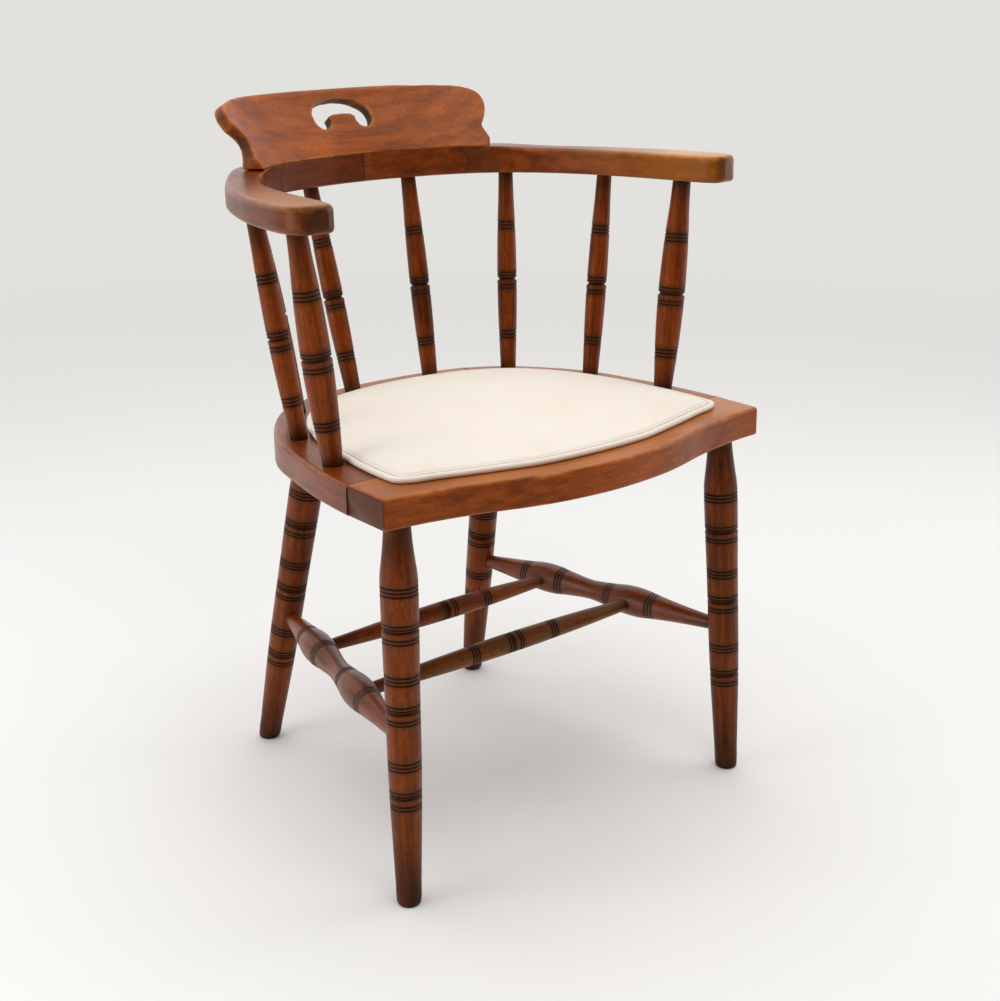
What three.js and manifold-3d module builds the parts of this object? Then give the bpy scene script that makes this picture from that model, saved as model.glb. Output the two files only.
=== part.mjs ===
// A low-backed captains chair: a solid-framed seat on four turned legs, eight
// turned spindles, a sawn arm bow in four lengths and a raked crest rail with a
// finger hole. Millimetres, +Z up, the sitter faces -Y, X is the symmetry axis.
import * as THREE from 'three';
import { mergeVertices } from 'three/addons/utils/BufferGeometryUtils.js';
import Module from 'manifold-3d';

const wasm = await Module();
wasm.setup();
const { Manifold, Mesh: SolidMesh } = wasm;

// Fits shared by every joint
const jointGap = 0.3; // glue line left between two touching pieces
const overrun = 3; // how far a cutter stands past the face it cuts
const sawReach = 500; // half length of a cut that passes right through the chair
const weldShare = 0.001; // points closer than this share of the gap become one
const depthCentre = 9.27; // moves the chair so that its box is centred on Y

// Seat frame, drawn in its own plane; the plane leans back a little
const seat = {
  height: 460, // top of the seat half way back
  pitch: THREE.MathUtils.degToRad(1.24),
  thickness: 33.5,
  edgeRound: 4,
  railWidth: 62,
  frontRailBack: -144.5, // where the side rails butt on the front rail
  backJointOuterX: 122,
  backJointInnerX: 100,
  frontSteps: 10,
  sideSteps: 18,
};
// The plan outline of the right half: bowed front edge, then side and back
const seatFront = [[0, -258], [50, -254.5], [80, -250], [110, -242.5], [150, -230],
  [190, -220], [230, -213], [266, -210]];
const seatSide = [[266, -210], [267, -146], [262.5, -85], [252, -24], [238, 37], [219, 76],
  [196, 110], [166, 143.5], [125, 168], [62, 183], [0, 187]];
const board = { thickness: 6, rebateWidth: 9, screwRadius: 2, screwHeadRadius: 3.6, screwLength: 11 };
const screwShares = [0.3, 0.75]; // along the rebate, from the front middle to the back middle
// The pad's side is drawn in above its cord, then rounds over to a crowned top
const pad = { edgeHeight: 11, crown: 9, crownY: -40, cord: 3.4, cordOut: 1.2, footInset: 6.8,
  shoulderInset: 7.5, topInset: 11.6, steps: 22, cordSides: 5 };
const padShoulderShare = 0.8; // of the edge height
const padCrownShares = [[0.82, 0.45], [0.55, 0.84], [0.25, 1]]; // of the top's size and the crown
const padOutline = [[0, -226], [75, -221.5], [110, -213], [150, -202], [190, -190], [214, -184],
  [227, -174], [229, -158], [228, -120], [223, -75], [213, -20], [199, 28], [176, 72],
  [146, 106], [104, 131], [56, 143.5], [0, 148]];

// Legs, from the seat underside to the floor
const leg = {
  frontTop: [232, -182.5],
  frontFoot: [244.6, -211.3],
  backTop: [134.3, 127],
  backFoot: [166.6, 211.3],
  neckRadius: 14.2,
  socketDepth: 15,
  sides: 10,
};
// Distance down the leg and radius there
const legBody = [[-15, 14.2], [4, 14.2], [22, 15.2], [42, 17.4], [60, 19.6], [74, 20],
  [119, 19.7], [170, 18.9], [209, 18.6], [267, 18.2], [306, 17.4], [322, 17], [440, 12.8]];
const legTriples = [74, 170.5, 267];
const legDoubles = [119.3, 209, 306];

// Spindles: foot on the seat plane, head on the bow underside
const spindle = { thinHead: 9, thinFoot: 9.6, stoutHead: 10.6, stoutFoot: 10.9,
  seatSocket: 14, bowSocket: 15, sides: 9 };
const spindleFoot = { arm_support: [238.8, -77.5], side_spindle: [214.5, 28.5],
  rear_side_spindle: [158, 123], rear_spindle: [58, 156.5] };
const spindleHead = { arm_support: [267, -67.5], side_spindle: [247.6, 48],
  rear_side_spindle: [184.4, 163.7], rear_spindle: [71.4, 217.5] };
// Shares of the spindle's clear length from the head, and of its middle radius
const spindleRingShares = [0.27, 0.545, 0.82];
const spindleSwellShares = [[0, 0], [0.12, 0.2], [0.25, 0.6], [0.4, 0.88], [0.545, 1],
  [0.68, 0.88], [0.83, 0.55], [0.93, 0.2], [1, 0]];
const spindleMiddle = { thin: 12.4, stout: 16.2 };

// Turned lines. A triple is three grooves side by side. A double is two grooves and a cove,
// then a plain band and two more grooves. Each is given by its distances from its middle.
const groove = { halfWidth: 1.9, depth: 1.3, coveDepth: 2.3, rimReach: 4.8 };
const tripleGrooves = [-4.2, 0, 4.2];
const doubleGrooves = [-9.6, -5.9, 6.1, 10.1];
const doubleCove = -2.1;

// Arm bow, in its own plane, leaning a little forward and up
const bow = { underside: 709, pitch: THREE.MathUtils.degToRad(2.46), armHeight: 29.5,
  backHeight: 33.5, edgeRound: 5.5, lowerRound: 4, seamRound: 0.8 };
const cornerCutShare = 0.3; // of a rounding, where its chamfers meet
// Shares of the way from the middle of the back to the hand, counted in points of the outlines
const scarfShare = 0.2472;
const riseShares = [0.3, 0.4556]; // where the scoop in front of the crest ends and begins
const dowelShares = [0.0611, 0.2];
const crestEndShare = 0.4222;
const slopeStepShare = 0.003; // a small step, for reading the bow's direction
const stationLength = 28; // about how far apart two points of an outline are
const bowSteps = { back: 5, rise: 5, arm: 10, crest: 16 };
const bowInner = [[0, 207], [30, 206], [60, 201.5], [90, 194.5], [118, 185], [143, 172.5],
  [163, 157.5], [181, 138.5], [197, 115], [211, 88], [222, 59], [231, 26], [238, -8],
  [243, -42], [248, -76], [251, -98], [254, -114.5], [260, -127], [270, -134]];
const bowOuter = [[0, 246], [34, 245], [70, 239.5], [103, 231], [136, 218.5], [167, 202],
  [195, 180.5], [220, 150.5], [241, 118], [258, 84], [271, 51], [282, 20], [292, -14],
  [299, -49], [303, -78], [304, -98], [301.5, -113], [295, -124], [284.5, -131.5]];

// Crest rail: how far it leans back at each height above the bow
const crestFront = [[0, 0], [2.5, 4], [8, 12], [19, 27], [30, 41], [40, 54], [48, 65], [51.5, 71],
  [55.5, 75]];
const crestBack = [[61, 74], [66, 68], [66, 64], [57, 52], [46, 38], [36, 25], [28, 12], [25, 0]];
const crestCut = THREE.MathUtils.degToRad(32); // the saw cuts run square to the leaning face
const backRadius = 248; // of the bow's curve behind the sitter
// Front outline of the right half, and of the finger hole, as x and height
const crestOutline = [[0, -8], [158, -8], [158, 0], [164.5, 4], [167.5, 11.5], [167, 20],
  [168.2, 28.5], [172.5, 36], [179.5, 44], [185, 52.5], [186, 60], [182.5, 66.5], [175, 70.6],
  [160, 73.2], [120, 75], [60, 76], [0, 76.5]];
const fingerHole = [[0, 64], [13, 63.2], [22, 61.2], [30, 58], [37, 53.2], [40.6, 48], [41.2, 42],
  [39, 35.5], [33.5, 31.2], [26, 31], [20.5, 34.5], [18.6, 39.2], [19.2, 43.2], [13.5, 45.9], [6, 46.8],
  [0, 47]];
const holeShift = -8; // the hole was sawn a little to one side of the middle
const dowel = { radius: 5, halfLength: 16 };

// Stretchers: side ones run leg to leg, cross ones between the side ones
const stretcher = { frontDown: 243, backDown: 249, sideSocket: 15, crossSocket: 13, sideEnd: 8,
  sideBulge: 18.6, sideWaist: 12.6, crossEnd: 7.2, crossMiddle: 12.2, crossRing: 60,
  crossShift: 8, sides: 10, crossSides: 9 };
const crossPlaceShares = [0.34, 0.69]; // along a side stretcher, from the front
const sideRingShares = [0.262, 0.43, 0.628, 0.775];
const bulgeFlatShare = 1 / 3; // of a swelling's half length
const crossBodyShares = [0.28, 0.76]; // along a cross stretcher, where it is near its full size
const crossBodySwellShare = 2 / 3;

// Finishes read from the photograph
const woodColour = (hex) => new THREE.MeshStandardMaterial({ color: hex, roughness: 0.42, metalness: 0 });
const redBrown = woodColour('#7a3a1d');
const darkTurned = woodColour('#66301a');
const wornArm = woodColour('#8a4a24');
const creamCloth = new THREE.MeshStandardMaterial({ color: '#ece4d6', roughness: 0.9, metalness: 0 });
const plainBoard = new THREE.MeshStandardMaterial({ color: '#b08a5c', roughness: 0.8, metalness: 0 });
const steel = new THREE.MeshStandardMaterial({ color: '#8c8c88', roughness: 0.4, metalness: 1 });

const chair = new THREE.Group();
chair.position.y = -depthCentre;
const seatGroup = new THREE.Group();
seatGroup.position.z = seat.height;
seatGroup.rotation.x = -seat.pitch;
const bowGroup = new THREE.Group();
bowGroup.position.z = bow.underside;
bowGroup.rotation.x = -bow.pitch;
chair.add(seatGroup, bowGroup);
chair.updateMatrixWorld(true);

// Welds a three.js geometry into a closed solid, the right way out
function solidOf(geometry) {
  const bare = geometry.clone();
  bare.deleteAttribute('normal');
  bare.deleteAttribute('uv');
  const welded = mergeVertices(bare, jointGap * weldShare);
  const corners = welded.index.array;
  const triangles = [];
  for (let i = 0; i < corners.length; i += 3) {
    const [a, b, c] = [corners[i], corners[i + 1], corners[i + 2]];
    if (a !== b && b !== c && c !== a) triangles.push([a, b, c]);
  }
  const solidFrom = (list) => new Manifold(new SolidMesh({ numProp: 3,
    vertProperties: Float32Array.from(welded.attributes.position.array),
    triVerts: Uint32Array.from(list.flat()) }));
  const shape = solidFrom(triangles);
  return shape.volume() > 0 ? shape : solidFrom(triangles.map(([a, b, c]) => [a, c, b]));
}

function geometryOf(solid) {
  const { vertProperties, triVerts, numProp } = solid.getMesh();
  const geometry = new THREE.BufferGeometry();
  const places = new Float32Array((vertProperties.length / numProp) * 3);
  for (let i = 0; i < places.length / 3; i++) {
    for (let k = 0; k < 3; k++) places[i * 3 + k] = vertProperties[i * numProp + k];
  }
  geometry.setAttribute('position', new THREE.BufferAttribute(places, 3));
  geometry.setIndex(Array.from(triVerts));
  return geometry;
}

function addPiece(parent, name, shape, material) {
  const geometry = shape.isBufferGeometry ? shape : geometryOf(shape);
  geometry.computeVertexNormals();
  const mesh = new THREE.Mesh(geometry, material);
  mesh.name = name;
  parent.add(mesh);
  return mesh;
}

// Joins rings of points into a solid and closes both ends
function solidSkin(rings) {
  const count = rings[0].length;
  const points = [];
  const index = [];
  for (const ring of rings) for (const p of ring) points.push(p.x, p.y, p.z);
  for (let i = 0; i + 1 < rings.length; i++) {
    for (let j = 0; j < count; j++) {
      const next = (j + 1) % count;
      const [a, b] = [i * count + j, i * count + next];
      index.push(a, b, b + count, a, b + count, a + count);
    }
  }
  const closeEnd = (ring, start, flip) => {
    const middle = ring.reduce((sum, p) => sum.add(p), new THREE.Vector3()).divideScalar(count);
    const at = points.length / 3;
    points.push(middle.x, middle.y, middle.z);
    for (let j = 0; j < count; j++) {
      const [a, b] = [start + j, start + ((j + 1) % count)];
      if (flip) index.push(at, b, a); else index.push(at, a, b);
    }
  };
  closeEnd(rings[0], 0, true);
  closeEnd(rings[rings.length - 1], (rings.length - 1) * count, false);
  const geometry = new THREE.BufferGeometry();
  geometry.setAttribute('position', new THREE.Float32BufferAttribute(points, 3));
  geometry.setIndex(index);
  return solidOf(geometry);
}

// A round cutter or dowel between two points
function rodBetween(from, to, radius, sides) {
  const span = to.clone().sub(from);
  const rod = new THREE.CylinderGeometry(radius, radius, span.length(), sides);
  rod.rotateX(Math.PI / 2);
  rod.applyQuaternion(new THREE.Quaternion().setFromUnitVectors(new THREE.Vector3(0, 0, 1),
    span.clone().normalize()));
  const centre = from.clone().add(to).divideScalar(2);
  rod.translate(centre.x, centre.y, centre.z);
  return rod;
}

// Cuts a rod given in the chair's space out of a piece that has its own place
function cutBy(shape, placed, from, to, radius, sides) {
  const inverse = placed.matrixWorld.clone().invert();
  const chairSpace = chair.matrixWorld;
  const [a, b] = [from, to].map((p) => p.clone().applyMatrix4(chairSpace).applyMatrix4(inverse));
  return shape.subtract(solidOf(rodBetween(a, b, radius, sides)));
}

const inSeat = (x, y, z) => new THREE.Vector3(x, y, z).applyMatrix4(seatGroup.matrix);
const inBow = (x, y, z) => new THREE.Vector3(x, y, z).applyMatrix4(bowGroup.matrix);
const along = (from, to, distance) => from.clone().add(
  to.clone().sub(from).normalize().multiplyScalar(distance));
const mirrorPoints = (half) => half.map(([x, y]) => [-x, y]).reverse();

// Where a line of turning crosses the radius table
function radiusAt(table, place) {
  for (let i = 0; i + 1 < table.length; i++) {
    const [[s0, r0], [s1, r1]] = [table[i], table[i + 1]];
    if (place <= s1) return THREE.MathUtils.lerp(r0, r1, (place - s0) / (s1 - s0));
  }
  return table[table.length - 1][1];
}

// Profile of a turned piece: its body, with triple and double lines let in
function turnedProfile(body, triples, doubles) {
  const cuts = [];
  for (const place of triples) {
    for (const offset of tripleGrooves) cuts.push([place + offset, groove.depth]);
  }
  for (const place of doubles) {
    for (const offset of doubleGrooves) cuts.push([place + offset, groove.depth]);
    cuts.push([place + doubleCove, groove.coveDepth]);
  }
  cuts.sort((a, b) => a[0] - b[0]);
  const lines = [];
  // Two cuts that lie within the rim's reach share the rim between them
  const close = (one, other) => one && other && other[0] - one[0] < groove.rimReach;
  cuts.forEach((cut, i) => {
    const [at, depth] = cut;
    const [before, after] = [cuts[i - 1], cuts[i + 1]];
    if (!close(before, cut)) lines.push([at - groove.halfWidth, 0]);
    lines.push([at, depth]);
    lines.push([close(cut, after) ? (at + after[0]) / 2 : at + groove.halfWidth, 0]);
  });
  const cutIn = lines.map(([at, depth]) => [at, radiusAt(body, at) - depth]);
  const busy = (s) => cuts.some(([at]) => Math.abs(at - s) < groove.rimReach);
  const ends = [body[0], body[body.length - 1]];
  const kept = body.filter((point) => ends.includes(point) || !busy(point[0]));
  return [...kept, ...cutIn].sort((a, b) => a[0] - b[0]);
}

// A lathe body whose own +Z runs down the piece from its first point
function turnedPiece(parent, name, profile, from, to, sides, material) {
  const start = profile[0][0];
  const end = profile[profile.length - 1][0];
  const outline = [new THREE.Vector2(0, start), ...profile.map(([s, r]) => new THREE.Vector2(r, s)),
    new THREE.Vector2(0, end)];
  const lathe = new THREE.LatheGeometry(outline, sides);
  lathe.rotateX(Math.PI / 2);
  const shape = solidOf(lathe);
  const mesh = addPiece(parent, name, shape, material);
  mesh.position.copy(from);
  mesh.quaternion.setFromUnitVectors(new THREE.Vector3(0, 0, 1), to.clone().sub(from).normalize());
  mesh.updateMatrixWorld(true);
  return { mesh, shape };
}

function recut(piece, shape) {
  piece.shape = shape;
  piece.mesh.geometry = geometryOf(shape);
  piece.mesh.geometry.computeVertexNormals();
}

// Smooth plan curves
const curveThrough = (points) => new THREE.CatmullRomCurve3(
  points.map(([x, y]) => new THREE.Vector3(x, y, 0)), false, 'centripetal');
const sampleCurve = (points, count) => curveThrough(points).getPoints(count)
  .map((p) => [p.x, p.y]);

function shapeFrom(points) {
  return new THREE.Shape(points.map(([x, y]) => new THREE.Vector2(x, y)));
}
function mirroredOutline(half) {
  const left = mirrorPoints(half).filter(([x]) => x < -jointGap);
  return [...half, ...left];
}

// Places on the four turned legs
const sides = [['left', -1], ['right', 1]];
const legPlace = {};
for (const [sideName, sign] of sides) {
  const drop = (y) => inSeat(0, y, -seat.thickness).z;
  for (const [rowName, top, foot] of [['front', leg.frontTop, leg.frontFoot],
    ['back', leg.backTop, leg.backFoot]]) {
    legPlace[`${rowName}_${sideName}`] = {
      top: new THREE.Vector3(sign * top[0], top[1], drop(top[1])),
      foot: new THREE.Vector3(sign * foot[0], foot[1], 0),
    };
  }
}

// Seat frame
const frontEdge = sampleCurve(seatFront, seat.frontSteps);
const sideEdge = sampleCurve(seatSide, seat.sideSteps);
const seatHalf = [...frontEdge, ...sideEdge.slice(1)];
const seatOutline = mirroredOutline(seatHalf);

function insetFrom(points, distance) {
  return points.map(([x, y], i) => {
    const before = points[Math.max(i - 1, 0)];
    const after = points[Math.min(i + 1, points.length - 1)];
    const [dx, dy] = [after[0] - before[0], i === points.length - 1 ? 0 : after[1] - before[1]];
    const size = Math.hypot(dx, dy);
    return [x - (dy / size) * distance, y + (dx / size) * distance];
  });
}
const innerEdge = insetFrom(sideEdge, seat.railWidth)
  .filter(([x, y]) => y > seat.frontRailBack - overrun && x >= -jointGap);
const firstInner = innerEdge[0];
const openingHalf = [[0, seat.frontRailBack], [firstInner[0], seat.frontRailBack],
  ...innerEdge.filter(([, y]) => y > seat.frontRailBack + overrun)];
openingHalf[openingHalf.length - 1][0] = 0;

const slabOf = (outline, low, high) => {
  const body = new THREE.ExtrudeGeometry(shapeFrom(outline),
    { depth: high - low, bevelEnabled: false, curveSegments: 1 });
  body.translate(0, 0, low);
  return solidOf(body);
};
function roundedSlab(outline, low, high, round) {
  const body = new THREE.ExtrudeGeometry(shapeFrom(outline), { depth: high - low - 2 * round,
    bevelEnabled: true, bevelThickness: round, bevelSize: round, bevelOffset: -round,
    bevelSegments: 2, curveSegments: 1 });
  body.translate(0, 0, low + round);
  return solidOf(body);
}
const rebateHalf = openingHalf.map(([x, y]) => {
  const reach = Math.hypot(x, y);
  return [x + (x / reach) * board.rebateWidth, y + (y / reach) * board.rebateWidth];
});
rebateHalf[0][0] = 0;
rebateHalf[rebateHalf.length - 1][0] = 0;
const frameBlank = roundedSlab(seatOutline, -seat.thickness, 0, seat.edgeRound)
  .subtract(slabOf(mirroredOutline(openingHalf), -seat.thickness - overrun, overrun))
  .subtract(slabOf(mirroredOutline(rebateHalf), -board.thickness - jointGap, overrun));

const halfGap = jointGap / 2;
const railCut = (outline) => slabOf(outline, -seat.thickness - overrun, overrun);
const frontCutter = railCut([[-sawReach, -sawReach], [sawReach, -sawReach],
  [sawReach, seat.frontRailBack - halfGap], [-sawReach, seat.frontRailBack - halfGap]]);
// The back joints run out sideways as they cross the rail from its inner edge to its outer one
const openingBack = openingHalf[openingHalf.length - 1][1];
const jointRun = (seat.backJointOuterX - seat.backJointInnerX) / seat.railWidth;
const jointX = (y) => seat.backJointInnerX + jointRun * (y - openingBack);
function backCutter(grow) {
  const [low, high] = [openingBack - seat.railWidth, openingBack + 2 * seat.railWidth];
  return railCut([[-jointX(low) - grow, low], [jointX(low) + grow, low],
    [jointX(high) + grow, high], [-jointX(high) - grow, high]]);
}
const sideRegion = (sign) => railCut([[0, seat.frontRailBack + halfGap],
  [sign * sawReach, seat.frontRailBack + halfGap], [sign * sawReach, sawReach], [0, sawReach]]);

const seatPieces = {
  seat_front_rail: frameBlank.intersect(frontCutter),
  seat_back_rail: frameBlank.intersect(backCutter(-halfGap)),
};
for (const [sideName, sign] of sides) {
  seatPieces[`seat_side_rail_${sideName}`] = frameBlank.intersect(sideRegion(sign))
    .subtract(backCutter(halfGap));
}
const seatMeshes = {};
for (const [name, shape] of Object.entries(seatPieces)) {
  seatMeshes[name] = { mesh: addPiece(seatGroup, name, shape, redBrown), shape };
}
seatGroup.updateMatrixWorld(true);

// Legs and their sockets in the rails
const legs = {};
for (const [key, { top, foot }] of Object.entries(legPlace)) {
  const reach = foot.clone().sub(top).length();
  const profile = turnedProfile(legBody, legTriples, legDoubles);
  const piece = turnedPiece(chair, `leg_${key}`, profile, top, foot, leg.sides, darkTurned);
  // The foot is sawn level with the floor
  const floorNormal = new THREE.Vector3(0, 0, 1).applyQuaternion(piece.mesh.quaternion.clone().invert());
  const floorOffset = floorNormal.z * reach;
  recut(piece, piece.shape.trimByPlane(floorNormal.toArray(), floorOffset));
  legs[key] = piece;
}
const railOfLeg = { front_left: 'seat_front_rail', front_right: 'seat_front_rail',
  back_left: 'seat_side_rail_left', back_right: 'seat_side_rail_right' };
for (const [key, railName] of Object.entries(railOfLeg)) {
  const { top, foot } = legPlace[key];
  const rail = seatMeshes[railName];
  recut(rail, cutBy(rail.shape, rail.mesh, along(top, foot, -leg.socketDepth - jointGap),
    along(top, foot, 2 * leg.neckRadius), leg.neckRadius + jointGap, leg.sides * 2));
}

// Spindles and their sockets in seat and bow
const bowInnerCurve = curveThrough(bowInner);
const bowOuterCurve = curveThrough(bowOuter);
const bowLast = bowInner.length - 1;
const stationAt = (share) => share * bowLast;
// A centripetal curve passes its own points at even parameters
const bowPair = (station) => {
  const at = Math.abs(station) / bowLast;
  const sign = Math.sign(station) || 1;
  const [inner, outer] = [bowInnerCurve.getPoint(at), bowOuterCurve.getPoint(at)];
  inner.x *= sign;
  outer.x *= sign;
  return { inner, outer };
};
const [riseTo, riseFrom] = riseShares.map(stationAt);
const rise = (station) => THREE.MathUtils.smoothstep(Math.abs(station), riseTo, riseFrom);

function bowRing(station) {
  const { inner, outer } = bowPair(station);
  const lift = rise(station);
  const height = THREE.MathUtils.lerp(bow.backHeight, bow.armHeight, lift);
  const top = THREE.MathUtils.lerp(bow.seamRound, bow.edgeRound, lift);
  const low = bow.lowerRound;
  const across = outer.clone().sub(inner);
  const width = across.length();
  across.normalize();
  const [lowCut, topCut] = [cornerCutShare * low, cornerCutShare * top];
  const corners = [[low, 0], [width - low, 0], [width - lowCut, lowCut], [width, low],
    [width, height - top], [width - topCut, height - topCut], [width - top, height],
    [top, height], [topCut, height - topCut], [0, height - top], [0, low], [lowCut, lowCut]];
  return corners.map(([u, v]) => inner.clone().addScaledVector(across, u).setZ(v));
}
const stationsBetween = (first, last, steps) => Array.from({ length: steps + 1 },
  (_, i) => THREE.MathUtils.lerp(first, last, i / steps));
const stationGap = halfGap / stationLength; // the glue line as a part of one station's length
const scarf = stationAt(scarfShare);
const backStations = stationsBetween(stationGap, scarf - stationGap, bowSteps.back);
const armStations = [...stationsBetween(scarf + stationGap, riseFrom, bowSteps.rise),
  ...stationsBetween(riseFrom, bowLast, bowSteps.arm).slice(1)];
const bowMeshes = {};
for (const [sideName, sign] of sides) {
  for (const [name, list, material] of [[`bow_back_${sideName}`, backStations, redBrown],
    [`arm_${sideName}`, armStations, wornArm]]) {
    const shape = solidSkin(list.map((s) => bowRing(sign * s)));
    bowMeshes[name] = { mesh: addPiece(bowGroup, name, shape, material), shape };
  }
}

// Crest rail: one leaning section carried round the bow, then sawn to outline
const crestSection = [...crestFront, ...crestBack];
const slopeStep = stationAt(slopeStepShare);
function crestRing(station) {
  const { inner } = bowPair(station);
  const ahead = bowPair(Math.abs(station) + slopeStep).inner;
  const behind = bowPair(Math.max(Math.abs(station) - slopeStep, 0)).inner;
  const run = ahead.clone().sub(behind).normalize();
  const sign = Math.sign(station) || 1;
  const normal = station === 0 ? new THREE.Vector3(0, 1, 0)
    : new THREE.Vector3(-run.y * sign, run.x, 0);
  if (normal.y < 0) normal.negate();
  return crestSection.map(([d, h]) => inner.clone().addScaledVector(normal, d)
    .setZ(bow.backHeight + jointGap + h));
}
const crestEnd = stationAt(crestEndShare);
const crestBlank = solidSkin(stationsBetween(-crestEnd, crestEnd, bowSteps.crest).map(crestRing));

// Front-face place for a point of the outline, from the section and the plan
const crestLean = (h) => {
  const [first, last] = [crestFront[0], crestFront[crestFront.length - 1]];
  if (h <= first[1]) return first[0];
  if (h >= last[1]) return last[0];
  return radiusAt(crestFront.map(([d, up]) => [up, d]), h);
};
function planDepth(x) {
  for (let i = 0; i + 1 < bowInner.length; i++) {
    const [[x0, y0], [x1, y1]] = [bowInner[i], bowInner[i + 1]];
    if (Math.abs(x) <= x1) return THREE.MathUtils.lerp(y0, y1, (Math.abs(x) - x0) / (x1 - x0));
  }
  return bowInner[bowInner.length - 1][1];
}
function faceDepth(x, h) {
  const lean = crestLean(h);
  const near = Math.abs(x) * (1 - lean / backRadius);
  const slope = (planDepth(near) - planDepth(near + overrun)) / overrun;
  return planDepth(near) + lean * Math.hypot(1, slope) * (1 - slope * slope / 8);
}
// A saw cut square to the leaning face, drawn by x and height on that face
function sawnThrough(half, shift = 0) {
  const flat = mirroredOutline(half).map(([x, h]) => [x + shift,
    h * Math.cos(crestCut) + faceDepth(x + shift, h) * Math.sin(crestCut)]);
  const body = new THREE.ExtrudeGeometry(shapeFrom(flat),
    { depth: 2 * sawReach, bevelEnabled: false, curveSegments: 1 });
  body.translate(0, 0, -sawReach);
  body.rotateX(Math.PI / 2 - crestCut);
  body.translate(0, 0, bow.backHeight + jointGap);
  return solidOf(body);
}
const crestShape = crestBlank.intersect(sawnThrough(crestOutline))
  .subtract(sawnThrough(fingerHole, holeShift));
const crest = { mesh: addPiece(bowGroup, 'crest_rail', crestShape, redBrown), shape: crestShape };
bowGroup.updateMatrixWorld(true);

// Dowels between the crest rail and the two back lengths of the bow
for (const [sideName, sign] of sides) {
  dowelShares.forEach((share, i) => {
    const { inner, outer } = bowPair(sign * stationAt(share));
    const out = outer.clone().sub(inner).normalize();
    const seamPoint = inner.clone().addScaledVector(out, crestSection[crestSection.length - 1][0] / 2);
    const lean = out.multiplyScalar(dowel.halfLength * Math.sin(crestCut) / 2);
    const high = seamPoint.clone().add(lean).setZ(bow.backHeight + dowel.halfLength);
    const low = seamPoint.clone().sub(lean).setZ(bow.backHeight - dowel.halfLength);
    const name = `crest_dowel_${sideName}_${i + 1}`;
    addPiece(bowGroup, name, rodBetween(low, high, dowel.radius, leg.sides), darkTurned);
    const cutter = solidOf(rodBetween(along(low, high, -jointGap), along(high, low, -jointGap),
      dowel.radius + jointGap, leg.sides * 2));
    const back = bowMeshes[`bow_back_${sideName}`];
    recut(back, back.shape.subtract(cutter));
    recut(crest, crest.shape.subtract(cutter));
  });
}

// The rearmost pair stands under the back of the bow, all the others under the arms
for (const [kind, [footX, footY]] of Object.entries(spindleFoot)) {
  const [headX, headY] = spindleHead[kind];
  const atBack = kind === 'rear_spindle';
  for (const [sideName, sign] of sides) {
    const foot = inSeat(sign * footX, footY, 0);
    const head = inBow(sign * headX, headY, 0);
    const clear = head.clone().sub(foot).length();
    const [headR, footR, middleR] = kind === 'arm_support'
      ? [spindle.stoutHead, spindle.stoutFoot, spindleMiddle.stout]
      : [spindle.thinHead, spindle.thinFoot, spindleMiddle.thin];
    const body = spindleSwellShares.map(([share, swell]) => [share * clear,
      THREE.MathUtils.lerp(THREE.MathUtils.lerp(headR, footR, share), middleR, swell)]);
    body.unshift([-spindle.bowSocket, headR]);
    body.push([clear + spindle.seatSocket, footR]);
    const rings = spindleRingShares.map((share) => share * clear);
    const profile = turnedProfile(body, [rings[0], rings[2]], [rings[1]]);
    turnedPiece(chair, `${kind}_${sideName}`, profile, head, foot, spindle.sides, darkTurned);
    const rail = seatMeshes[atBack ? 'seat_back_rail' : `seat_side_rail_${sideName}`];
    recut(rail, cutBy(rail.shape, rail.mesh, along(foot, head, 2 * footR),
      along(foot, head, -spindle.seatSocket - jointGap), footR + jointGap, spindle.sides * 2));
    const above = bowMeshes[`${atBack ? 'bow_back' : 'arm'}_${sideName}`];
    recut(above, cutBy(above.shape, above.mesh, along(head, foot, 2 * headR),
      along(head, foot, -spindle.bowSocket - jointGap), headR + jointGap, spindle.sides * 2));
  }
}

// Side stretchers, tenoned into the legs
const crossEnds = {};
for (const [sideName, sign] of sides) {
  const front = legPlace[`front_${sideName}`];
  const back = legPlace[`back_${sideName}`];
  const from = along(front.top, front.foot, stretcher.frontDown);
  const to = along(back.top, back.foot, stretcher.backDown);
  const run = to.clone().sub(from).length();
  const tenonStart = radiusAt(legBody, stretcher.frontDown) - stretcher.sideSocket;
  const bareEnd = radiusAt(legBody, stretcher.frontDown) + jointGap;
  const [frontAt, backAt] = crossPlaceShares.map((share) => share * run);
  const waistAt = (frontAt + backAt) / 2;
  const swell = (backAt - frontAt) / 4;
  const { sideEnd, sideBulge, sideWaist } = stretcher;
  const shoulder = (sideBulge + sideWaist) / 2;
  const bulgeAt = (middle) => [[middle - swell, shoulder], [middle - bulgeFlatShare * swell, sideBulge],
    [middle + bulgeFlatShare * swell, sideBulge], [middle + swell, shoulder]];
  const taper = (sideEnd + shoulder) / 2;
  const body = [[tenonStart, sideEnd], [bareEnd, sideEnd], [frontAt - 2 * swell, taper],
    ...bulgeAt(frontAt), [waistAt, sideWaist], ...bulgeAt(backAt), [backAt + 2 * swell, taper],
    [run - bareEnd, sideEnd], [run - tenonStart, sideEnd]];
  const profile = turnedProfile(body, sideRingShares.map((share) => share * run), []);
  const piece = turnedPiece(chair, `side_stretcher_${sideName}`, profile, from, to, stretcher.sides,
    darkTurned);
  for (const [key, at, towards] of [[`front_${sideName}`, from, to], [`back_${sideName}`, to, from]]) {
    recut(legs[key], cutBy(legs[key].shape, legs[key].mesh, along(at, towards, tenonStart - jointGap),
      along(at, towards, 2 * bareEnd), sideEnd + jointGap, stretcher.sides * 2));
  }
  crossEnds[sideName] = { piece, front: along(from, to, frontAt), back: along(from, to, backAt) };
}

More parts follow.
